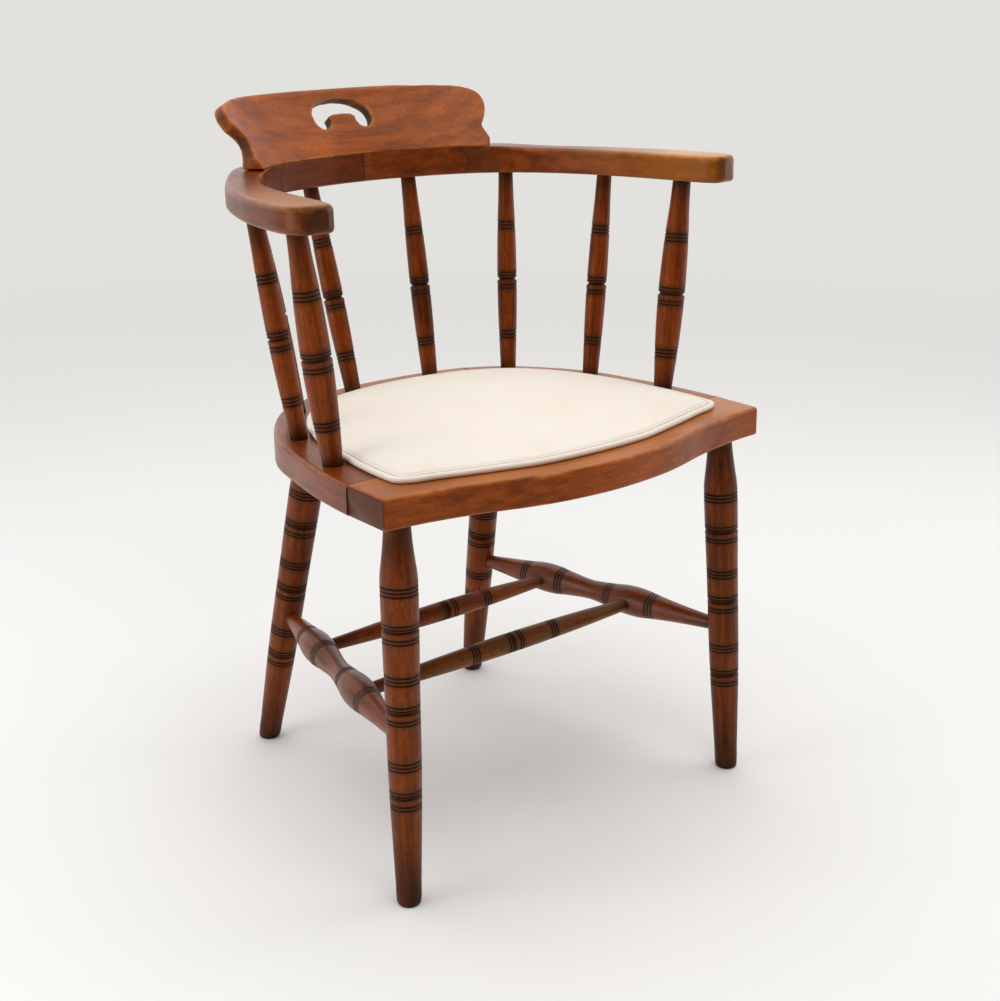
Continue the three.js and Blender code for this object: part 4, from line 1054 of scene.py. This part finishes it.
# Each end as (place, height) on the front face: its top run, the drooping corner, waist and lobe
CREST_ENDS = {
    "left": [(-60, 77), (-100, 76.3), (-141, 75), (-172, 73), (-186.5, 69), (-192, 60.5),
             (-190, 50), (-179.5, 39.5), (-173, 29.5), (-175.8, 19.5), (-178.8, 11.5),
             (-174.5, 2.5), (-168, -8)],
    "right": [(60, 76.5), (96, 74.2), (138, 72.6), (158, 70.8), (170, 67), (176, 62), (177.3, 55),
              (175.8, 47.5), (171, 39), (165.3, 31.5), (161.8, 25.5), (162, 18), (162.7, 10),
              (158.5, 3.5), (151, -8)],
}
END_CENTRE, END_BAND, END_DEEP = (3.5, 35.0), 2.2, (-14.0, 95.0)
FINGER_HOLE = [(0, 64), (13, 63.2), (22, 61.2), (30, 58), (37, 53.2), (40.6, 48), (41.2, 42),
               (39, 35.5), (33.5, 31.2), (26, 31), (20.5, 34.5), (18.6, 39.2), (19.2, 43.2),
               (13.5, 45.9), (6, 46.8), (0, 47)]
HOLE_SHIFT = -8  # the hole was sawn a little to one side of the middle
HOLE_DEEP = (-60.0, 480.0)
CREST_REACH, SEAM_GAP, VOXEL, SOFTENED = 7.0, 0.3, 0.0013, 9
BLANK_RINGS, POINTS_PER_SAW_KNOT, HOLE_POINTS = 90, 6, 500
WALL_NEAR, WALL_FAR, END_FROM, NOWHERE = 0.5, 1.8, 130, 99.0
crest_foot = BACK_HIGH + SEAM_GAP


def bow_frames(stations):
    """The bow's inner line at some stations, and the way outward from it."""
    here = smooth_at(inner_points, MIDDLE + stations)
    run = smooth_at(inner_points, MIDDLE + stations + 0.05) - smooth_at(
        inner_points, MIDDLE + stations - 0.05)
    run /= np.linalg.norm(run, axis=1, keepdims=True)
    return here, np.column_stack([-run[:, 1], run[:, 0]]) * np.sign(run[:, :1])


def crest_blank():
    section = np.vstack([smooth_line(CREST_FRONT, 34), smooth_line(CREST_BACK, 30)])
    rings = [np.column_stack([here + section[:, :1] * out, section[:, 1] + crest_foot])
             for here, out in zip(*bow_frames(np.linspace(-CREST_REACH, CREST_REACH, BLANK_RINGS)))]
    return loft("crest_blank", rings)


def lean_at(height):
    """How far out from the bow's inner line the crest's front face lies at a height."""
    return np.interp(height, [h for _, h in CREST_FRONT], [d for d, _ in CREST_FRONT])


def sawn_outline(points):
    return smooth_line(points, POINTS_PER_SAW_KNOT * (len(points) - 1) + 1)


def wall_points(stations, heights, lean, deep):
    """Points of a wall that is sawn square to the face, at some depths."""
    here, out = bow_frames(stations)
    return [np.column_stack([here + d * out,
                             heights - (d - lean) * math.tan(CREST_CUT) + crest_foot])
            for d in deep]


def end_outline(points):
    """An end's outline as stations on the bow, heights and how far the face leans out there."""
    line = sawn_outline(points)
    stations = np.linspace(-CREST_REACH - 1.5, CREST_REACH + 1.5, 600)
    here, out = bow_frames(stations)
    lean = lean_at(line[:, 1])
    place = [np.interp(x, here[:, 0] + d * out[:, 0], stations) for x, d in zip(line[:, 0], lean)]
    return np.array(place), line[:, 1], lean


def end_cutter(name, points):
    """A band that takes away all that lies beyond one end's outline."""
    place, height, lean = end_outline(points)
    middle = math.copysign(END_CENTRE[0], points[-1][0])
    inner_rows = wall_points(place, height, lean, END_DEEP)
    outer_rows = wall_points(middle + (place - middle) * END_BAND,
                             END_CENTRE[1] + (height - END_CENTRE[1]) * END_BAND, lean, END_DEEP)
    return loft(name, np.stack(inner_rows + outer_rows[::-1], axis=1))


def face_depth(x, height):
    """How far back the crest's leaning front face lies, near the middle of the crest."""
    lean = lean_at(height)
    xs, ys = np.array(BOW_INNER[:9]).T
    near = np.abs(x) * (1 - lean / (4 * RAIL_WIDTH))
    slope = (np.interp(near, xs, ys) - np.interp(near + 3, xs, ys)) / 3
    return np.interp(near, xs, ys) + lean * np.hypot(1, slope) * (1 - slope * slope / 8)


def hole_outline():
    """The finger hole as (place, height) rows, seen along the saw."""
    line = sawn_outline(FINGER_HOLE)
    line = np.vstack([line, (line * [-1, 1])[1:-1][::-1]]) + [HOLE_SHIFT, 0]
    return np.array([(x, h * math.cos(CREST_CUT) + float(face_depth(x, h)) * math.sin(CREST_CUT))
                     for x, h in line])


def hole_cutter():
    s, c = math.sin(CREST_CUT), math.cos(CREST_CUT)
    return loft("finger_hole", [[(x, v * s + push * c, v * c - push * s + crest_foot)
                                 for x, v in hole_outline()] for push in HOLE_DEEP])


def near_wall(distance):
    return 1 - eased(distance, WALL_NEAR, WALL_FAR)


def near_hole(points):
    """From 0 to 1, how close points of the crest lie to the hole's wall."""
    line = spread(hole_outline(), HOLE_POINTS)
    up = points[:, 2] - BACK_HIGH - SEAM_GAP
    seen = np.column_stack([points[:, 0],
                            up * math.cos(CREST_CUT) + points[:, 1] * math.sin(CREST_CUT)])
    return near_wall(nearest_to(line, seen, 40))


def nearest_to(line, points, parts):
    """The distance from each point to the nearest one of a line, worked out in parts."""
    return np.concatenate([np.min(np.linalg.norm(part[:, None] - line[None], axis=2), axis=1)
                           for part in np.array_split(points, parts)])


def near_ends(points):
    """From 0 to 1, how close points of the crest lie to a sawn end."""
    spots = np.vstack([row for ends in CREST_ENDS.values()
                       for row in wall_points(*end_outline(ends[3:]), np.arange(-2.0, 75.0, 1.5))])
    tree = kdtree.KDTree(len(spots))
    for k, spot in enumerate(spots):
        tree.insert(spot, k)
    tree.balance()
    far = np.full(len(points), NOWHERE)
    for k in np.nonzero(np.abs(points[:, 0]) > END_FROM)[0]:
        far[k] = tree.find(points[k])[2]
    return near_wall(far)


def saw_away(piece, cutter):
    cut = piece.modifiers.new("cut", "BOOLEAN")
    cut.operation, cut.object, cut.solver = "DIFFERENCE", cutter, "EXACT"
    piece = baked_piece(piece, piece.name)
    bpy.data.objects.remove(cutter)
    return piece


def get_points(piece):
    """A piece's points in millimetres."""
    values = np.empty(len(piece.data.vertices) * 3, np.float32)
    piece.data.vertices.foreach_get("co", values)
    return values.reshape(-1, 3).astype(float) / MM


def put_points(piece, points):
    piece.data.vertices.foreach_set("co", (points * MM).astype(np.float32).ravel())


def remeshed(piece, voxel):
    fine = piece.modifiers.new("fine", "REMESH")
    fine.mode, fine.voxel_size = "VOXEL", voxel


def softened(piece, passes):
    soft = piece.modifiers.new("softened", "SMOOTH")
    soft.factor, soft.iterations = 0.5, passes


crest = crest_blank()
for word, points in CREST_ENDS.items():
    crest = saw_away(crest, end_cutter(f"end_{word}", points))
crest = saw_away(crest, hole_cutter())
print("crest before remesh:", len(crest.data.polygons), "faces")
remeshed(crest, VOXEL)
softened(crest, SOFTENED)
crest = baked_piece(crest, "crest_rail")
points = get_points(crest)
walls = np.maximum(near_hole(points), 0.95 * near_ends(points))
put_points(crest, in_bow(points))
print("crest after remesh:", len(crest.data.polygons), "faces")

# %% [markdown]
# The rasped edges of the crest are where hands rub it pale. A remeshed piece has no rows of
# points to count along, so its edges are found from its shape: a point whose neighbours lie below
# its own tangent plane sits on an outward bend. The bend is averaged a few times, and the sharpest
# three points in a hundred count as fully worn.
# %% Wear on the crest's edges
BEND_PASSES, SHARPEST = 6, 97


def edge_marks(mesh):
    """How sharply the surface bends outward at each point, from 0 to 1."""
    count = len(mesh.vertices)
    co, normal = np.empty(count * 3), np.empty(count * 3)
    mesh.vertices.foreach_get("co", co)
    mesh.vertex_normals.foreach_get("vector", normal)
    co = co.reshape(-1, 3)
    pairs = np.empty(len(mesh.edges) * 2, int)
    mesh.edges.foreach_get("vertices", pairs)
    a, b = pairs.reshape(-1, 2).T
    total, near = np.zeros((count, 3)), np.zeros(count)
    for u, v in ((a, b), (b, a)):
        np.add.at(total, u, co[v] - co[u])
        np.add.at(near, u, 1)
    bend = -(total / near[:, None] * normal.reshape(-1, 3)).sum(1)
    for _ in range(BEND_PASSES):
        around = np.zeros(count)
        for u, v in ((a, b), (b, a)):
            np.add.at(around, u, bend[v])
        bend = (bend + around / near) / 2
    return np.clip(bend / np.percentile(bend, SHARPEST), 0, 1)


dress(crest, crest_finish)
shade(crest, hard=math.radians(60))
edge_wear = edge_marks(crest.data)
set_mark(crest.data, "wear", edge_wear)
set_mark(crest.data, "grime", np.clip(walls - 1.3 * edge_wear, 0, 1))
stands_for(crest, "crest_rail")
print("worn points:", int((edge_wear > 0.5).sum()))

# %% [markdown]
# The pad is a thin cushion in cream cloth. It is flat below, where it rests on the seat, and its
# top is gently crowned. A cushion is filled, so air pressure in a cloth simulation gives a more
# honest swell than a formula: every part pushes out as far as the cloth lets it. The start shape
# is remeshed to even squares first, because the solver needs them. Its seam is held in place, and
# each point may only move a set distance, so the pad keeps the size that was measured.
# %% The pad
PAD_OUTLINE = [(0, -226), (75, -221.5), (110, -213), (150, -202), (190, -190), (214, -184),
               (227, -174), (229, -158), (228, -120), (223, -75), (213, -20), (199, 28), (176, 72),
               (146, 106), (104, 131), (56, 143.5), (0, 148)]
# The blank's profile, as (distance in from the edge, height)
PAD_PROFILE = [(5.0, 0.6), (3.0, 2.4), (3.0, 4.6), (6.0, 6.6), (13, 9.8), (28, 13.5)]
PAD_VOXEL, PAD_CAP, PAD_STEPS, PAD_PRESSURE, PAD_SOFTENED = 0.004, 13.0, 20, 10.0, 8
PAD_HELD, PAD_FLOOR, PAD_SIDEWAYS, PAD_LOWEST = 8.0, 2.5, 0.3, 0.5
whole = both_sides(PAD_OUTLINE)[:-1]
whole = np.vstack([whole, whole[:1]])
pad_line = spread(smooth_at(np.vstack([whole[-3:-1], whole, whole[1:3]]),
                            np.linspace(2, 2 + len(whole) - 1, 900)), 361)[:-1]


def moved_in(line, distance):
    """A closed outline drawn in by a distance."""
    step = np.roll(line, -1, 0) - np.roll(line, 1, 0)
    step /= np.linalg.norm(step, axis=1, keepdims=True)
    return line + np.column_stack([-step[:, 1], step[:, 0]]) * distance


def edge_distance(points):
    """How far points lie inside the pad's outline, in plan."""
    return nearest_to(spread(np.vstack([pad_line, pad_line[:1]]), 1500), points[:, :2], 60)


def filled_pad(piece, held):
    """The cloth blown up by its filling, with its seam held in place."""
    group = piece.vertex_groups.new(name="seam")
    group.add([int(k) for k in np.nonzero(held)[0]], 1.0, "REPLACE")
    cloth = piece.modifiers.new("filled", "CLOTH")
    cloth.settings.use_pressure = True
    cloth.settings.uniform_pressure_force = PAD_PRESSURE
    cloth.settings.effector_weights.gravity = 0
    cloth.settings.vertex_group_mass = "seam"
    cloth.settings.quality = 6
    cloth.collision_settings.use_self_collision = False
    for step in range(1, PAD_STEPS + 1):
        scene.frame_set(step)
    moved = get_points(piece.evaluated_get(bpy.context.evaluated_depsgraph_get()))
    piece.modifiers.remove(cloth)
    piece.vertex_groups.remove(group)
    scene.frame_set(1)
    return moved


cushion = loft("seat_cushion", [np.column_stack([moved_in(pad_line, d), np.full(len(pad_line), z)])
                                for d, z in PAD_PROFILE])
remeshed(cushion, PAD_VOXEL)
cushion = baked_piece(cushion, "seat_cushion")
start = get_points(cushion)
inside = edge_distance(start)
held = (inside < PAD_HELD) | (start[:, 2] < PAD_FLOOR)
travel = filled_pad(cushion, held) - start
travel[:, :2] *= PAD_SIDEWAYS
distance = np.linalg.norm(travel, axis=1, keepdims=True)
travel *= PAD_CAP * np.tanh(distance / PAD_CAP) / np.maximum(distance, 1e-6)
settled = start + travel
settled[:, 2] = np.maximum(settled[:, 2], PAD_LOWEST)
print("pad rises", round(settled[:, 2].max() - start[:, 2].max(), 1), "mm")
put_points(cushion, settled)
softened(cushion, PAD_SOFTENED)
finer = cushion.modifiers.new("finer", "SUBSURF")
finer.levels = finer.render_levels = 1
cushion = baked_piece(cushion, "seat_cushion")
settled = get_points(cushion)
set_mark(cushion.data, "inset", edge_distance(settled))
settled[:, 2] = np.maximum(settled[:, 2], PAD_LOWEST)
put_points(cushion, in_seat(settled))
print("pad top", round(settled[:, 2].max(), 1), "mm above the seat")

# %% [markdown]
# Cloth is a weave of threads over and under each other. At this distance the weave is only a
# slight tooth in the light, so it is a bump of two crossed waves, with some threads thicker than
# others and a faint unevenness in colour. It reads the piece's own coordinates, so the threads
# run straight across the pad. Along the edge, the mark "inset" draws the seam, the row of
# stitches beside it and the puckers that they pull into the cloth. The seam and the stitch line
# are also painted darker, as painted shade in their creases.
# %% The cream cloth
weave_nodes, vi, vo = new_group(
    "plain weave", "ShaderNodeTree", [("Vector", "Vector", None), ("Threads", "Float", 900.0)],
    [("Thread", "Float", None), ("Soil", "Float", None)])
waves = []
for axis in "XY":
    uneven = weave_nodes.times(weave_nodes.noise(vi["Vector"], 60.0), 2.2)
    phase = weave_nodes.sums("MULTIPLY_ADD", weave_nodes.split(vi["Vector"])[axis], vi["Threads"],
                             uneven)
    waves.append(weave_nodes.sums("SINE", weave_nodes.times(phase, 2 * math.pi)))
weave_nodes.put(weave_nodes.sums("MULTIPLY_ADD", weave_nodes.times(*waves), 0.5,
                                 weave_nodes.noise(vi["Vector"], 420.0)), vo["Thread"])
weave_nodes.put(weave_nodes.ramp(weave_nodes.noise(vi["Vector"], 14.0, 4.0), 0.45, 0.8), vo["Soil"])


def cream_cloth():
    material, n, surface = new_material("cream_cloth", Roughness=0.92, Specular_IOR_Level=0.2,
                                        Sheen_Weight=0.08)
    place = n.coordinate("Object")
    weave = n.add("ShaderNodeGroup", {"Vector": place}, node_tree=weave_nodes.tree).outputs
    inset_mm = n.mark("inset")
    seam, stitch, near_seam = (
        n.times(n.ramp(inset_mm, *rise), n.ramp(inset_mm, *fall))
        for rise, fall in (((4.6, 5.8), (7.6, 6.4)), ((8.8, 9.7), (10.8, 9.9)),
                           ((6.0, 12.0), (40.0, 10.0))))
    creases = n.sums("MULTIPLY_ADD", stitch, 0.6, seam)
    pucker = n.times(near_seam, n.noise(place, 48.0))
    # The last tone darkens the seam and the stitch line: painted shade in their creases.
    clean, soiled, thread, crease_shade = tones("f6ecdf ecdfcd d9cab4 b9a78c")
    tone = n.blend(n.times(weave["Soil"], 0.35), clean, soiled)
    tone = n.blend(n.times(weave["Thread"], 0.12), tone, thread)
    n.put(n.blend(n.times(creases, 0.4), tone, crease_shade), surface.inputs["Base Color"])
    folds = n.bump(n.minus(pucker, creases), 0.5, 0.0012)
    n.put(n.bump(weave["Thread"], 0.25, 0.0004, Normal=folds), surface.inputs["Normal"])
    return material


cloth_finish = cream_cloth()
dress(cushion, cloth_finish)
shade(cushion, hard=math.radians(80))
stands_for(cushion, "seat_pad")
print("pad faces", len(cushion.data.polygons))

# %% [markdown]
# Round the pad's foot runs a cord wrapped in the same cloth. It follows one closed path, so it is
# a second geometry node tree: the path, a round section, and a slight unevenness in thickness
# where the cloth bunches over the cord.
# %% The corded edge
CORD, CORD_OUT, CORD_CLEAR = 3.4, 1.2, 0.3


def cord_tree():
    n, gi, go = new_group(
        "corded edge", "GeometryNodeTree",
        [("Path", "Geometry", None), ("Radius", "Float", 0.0034), ("Step", "Float", 0.003),
         ("Sides", "Int", 14), ("Uneven", "Float", 0.05), ("Finish", "Material", None)],
        [("Cord", "Geometry", None)])
    path = n.out("GeometryNodeResampleCurve", {
        "Curve": n.out("GeometryNodeMeshToCurve", {"Mesh": gi["Path"]}), "Length": gi["Step"]},
        mode="LENGTH")
    wobble = n.minus(n.out("ShaderNodeTexNoise", {"Scale": 90.0, "Detail": 2.0}), 0.5)
    size = n.times(gi["Radius"], n.sums("MULTIPLY_ADD", wobble, gi["Uneven"], 1.0))
    skin = n.out("GeometryNodeCurveToMesh", {
        "Curve": path, "Scale": size, "Profile Curve": n.out(
            "GeometryNodeCurvePrimitiveCircle", {"Resolution": gi["Sides"], "Radius": 1.0})})
    skin = n.out("GeometryNodeSetShadeSmooth", {"Geometry": skin})
    whole = n.out("GeometryNodeRealizeInstances", {"Geometry": skin})
    n.put(n.out("GeometryNodeSetMaterial", {"Geometry": whole, "Material": gi["Finish"]}),
          go["Cord"])
    return n.tree


path_points = np.column_stack([moved_in(pad_line, CORD - CORD_OUT),
                               np.full(len(pad_line), CORD + CORD_CLEAR)])
cord = wire_from("seat_cord", in_seat(path_points) * MM, closed=True)
sweep = cord.modifiers.new("cord", "NODES")
sweep.node_group = cord_tree()
set_inputs(sweep, {"Radius": CORD * MM, "Finish": cloth_finish})
cord = stands_for(baked_piece(cord, "seat_cord"), "seat_piping")
print("cord faces", len(cord.data.polygons))

# %% [markdown]
# A few nodes of the measured model are right as they are: the board under the pad, its screws and
# the dowels inside the joints. They keep their shape and only get a finish of their own.
# %% Board, screws and dowels
steel_finish, n, steel = new_material("steel_finish", Metallic=1.0)
scuffs = n.noise(n.coordinate("Object"), 700.0, 3.0)
n.put(n.ramp(scuffs, 0.3, 0.7, 0.28, 0.5), steel.inputs["Roughness"])
n.put(n.blend(scuffs, *tones("8f8f8b 6f6a62")), steel.inputs["Base Color"])
kept_finishes = {
    "seat_board": stained_wood("board_finish", "7d5a35 a07a4c b8935f c9a873", turn=ALONG_X,
                               wear=0.0, dirt_and_shade=0.3, rough=0.6, streaks=30.0, stretch=0.03,
                               ends_dark=0),
    "board_screw": steel_finish,
    "crest_dowel": stained_wood("dowel_finish", TURNED, wear=0.0, streaks=70.0, ends_dark=0)}
for name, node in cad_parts.items():
    for start_of_name, finish in kept_finishes.items():
        if name.startswith(start_of_name):
            dress(node, finish)
print("finishes of the kept nodes:", list(kept_finishes))

# %% [markdown]
# The setting is a white room: a pale floor that fades into an equally pale background, a wide
# light and a smaller one above, a window-like light on the left and a weaker one on the right.
# Wide lights give the long soft reflections on the polish. The background that only the camera
# and rays through glass see is kept apart from the light that falls on the chair, so the picture
# can be pale without washing it out.
# %% Floor, background and lights
BACKDROP = colour("e3e1dd")
FLOOR_TONE, FLOOR_CLOUD = (0.94, 0.925, 0.90, 1), (0.90, 0.885, 0.86, 1)
FLOOR_RADIUS, FLOOR_SIDES, FADE_FROM_TO = 6.0, 64, (0.9, 3.6)
SKY_COLOUR, SKY_BEHIND, SKY_STRENGTH = (0.98, 0.99, 1, 1), (-0.4, 0.9), (0.28, 1.0)


def pale_floor():
    material, n, surface = new_material("pale_floor", Roughness=0.7, Specular_IOR_Level=0.2)
    place = n.coordinate("Object")
    n.put(n.blend(n.noise(place, 1.6, 4.0), FLOOR_TONE, FLOOR_CLOUD), surface.inputs["Base Color"])
    away = n.ramp(n.vectors("LENGTH", place), *FADE_FROM_TO)
    seen = n.out("ShaderNodeLightPath", output="Is Camera Ray")
    glow = n.out("ShaderNodeEmission", {"Color": BACKDROP, "Strength": 1.0})
    n.put(n.out("ShaderNodeMixShader", {0: n.times(away, seen), 1: surface.outputs[0], 2: glow}),
          material.node_tree.nodes["Material Output"].inputs["Surface"])
    return material


rim = [(FLOOR_RADIUS * math.cos(2 * math.pi * k / FLOOR_SIDES),
        FLOOR_RADIUS * math.sin(2 * math.pi * k / FLOOR_SIDES), 0) for k in range(FLOOR_SIDES)]
floor_mesh = bpy.data.meshes.new("floor")
floor_mesh.from_pydata(rim, [], [list(range(FLOOR_SIDES))])
floor_mesh.materials.append(pale_floor())
linked("floor", floor_mesh)

scene.world = bpy.data.worlds.new("white_room")
scene.world.use_nodes = True
sky = Nodes(scene.world.node_tree)
sky.tree.nodes.clear()
rays = sky.add("ShaderNodeLightPath").outputs
shown = sky.sums("MAXIMUM", rays["Is Camera Ray"], rays["Is Transmission Ray"])
behind = sky.vectors("DOT_PRODUCT", sky.coordinate("Generated"),
                     (-math.sin(AZIMUTH), math.cos(AZIMUTH), 0.25))
lit = sky.out("ShaderNodeBackground", {"Color": SKY_COLOUR, "Strength": sky.ramp(
    behind, *SKY_BEHIND, *SKY_STRENGTH)})
plain = sky.out("ShaderNodeBackground", {"Color": BACKDROP, "Strength": 1.0})
sky.put(sky.out("ShaderNodeMixShader", {0: shown, 1: lit, 2: plain}),
        sky.add("ShaderNodeOutputWorld").inputs["Surface"])


def wide_light(name, place, towards, size, watts, tint=(1, 1, 1)):
    lamp = bpy.data.lights.new(name, "AREA")
    lamp.shape, lamp.energy, lamp.color = "RECTANGLE", watts, tint
    lamp.size, lamp.size_y = size
    aim = (Vector(towards) - Vector(place)).to_track_quat("-Z", "Y")
    linked(name, lamp).matrix_world = Matrix.Translation(place) @ aim.to_matrix().to_4x4()


wide_light("light_above", (-0.2, 0.1, 2.9), (0, 0, 0.4), (3.4, 3.4), 32)
wide_light("light_front", (-0.25, -0.95, 2.35), (0.1, 0, 0.6), (0.8, 0.8), 7)
wide_light("light_left", (-2.3, 0.5, 0.95), (0, 0, 0.5), (1.3, 1.6), 17, (0.96, 0.98, 1))
wide_light("light_right", (1.9, -0.8, 1.0), (0, 0, 0.4), (1.3, 1.6), 7, (1, 0.98, 0.95))
print("lights:", len(bpy.data.lights))
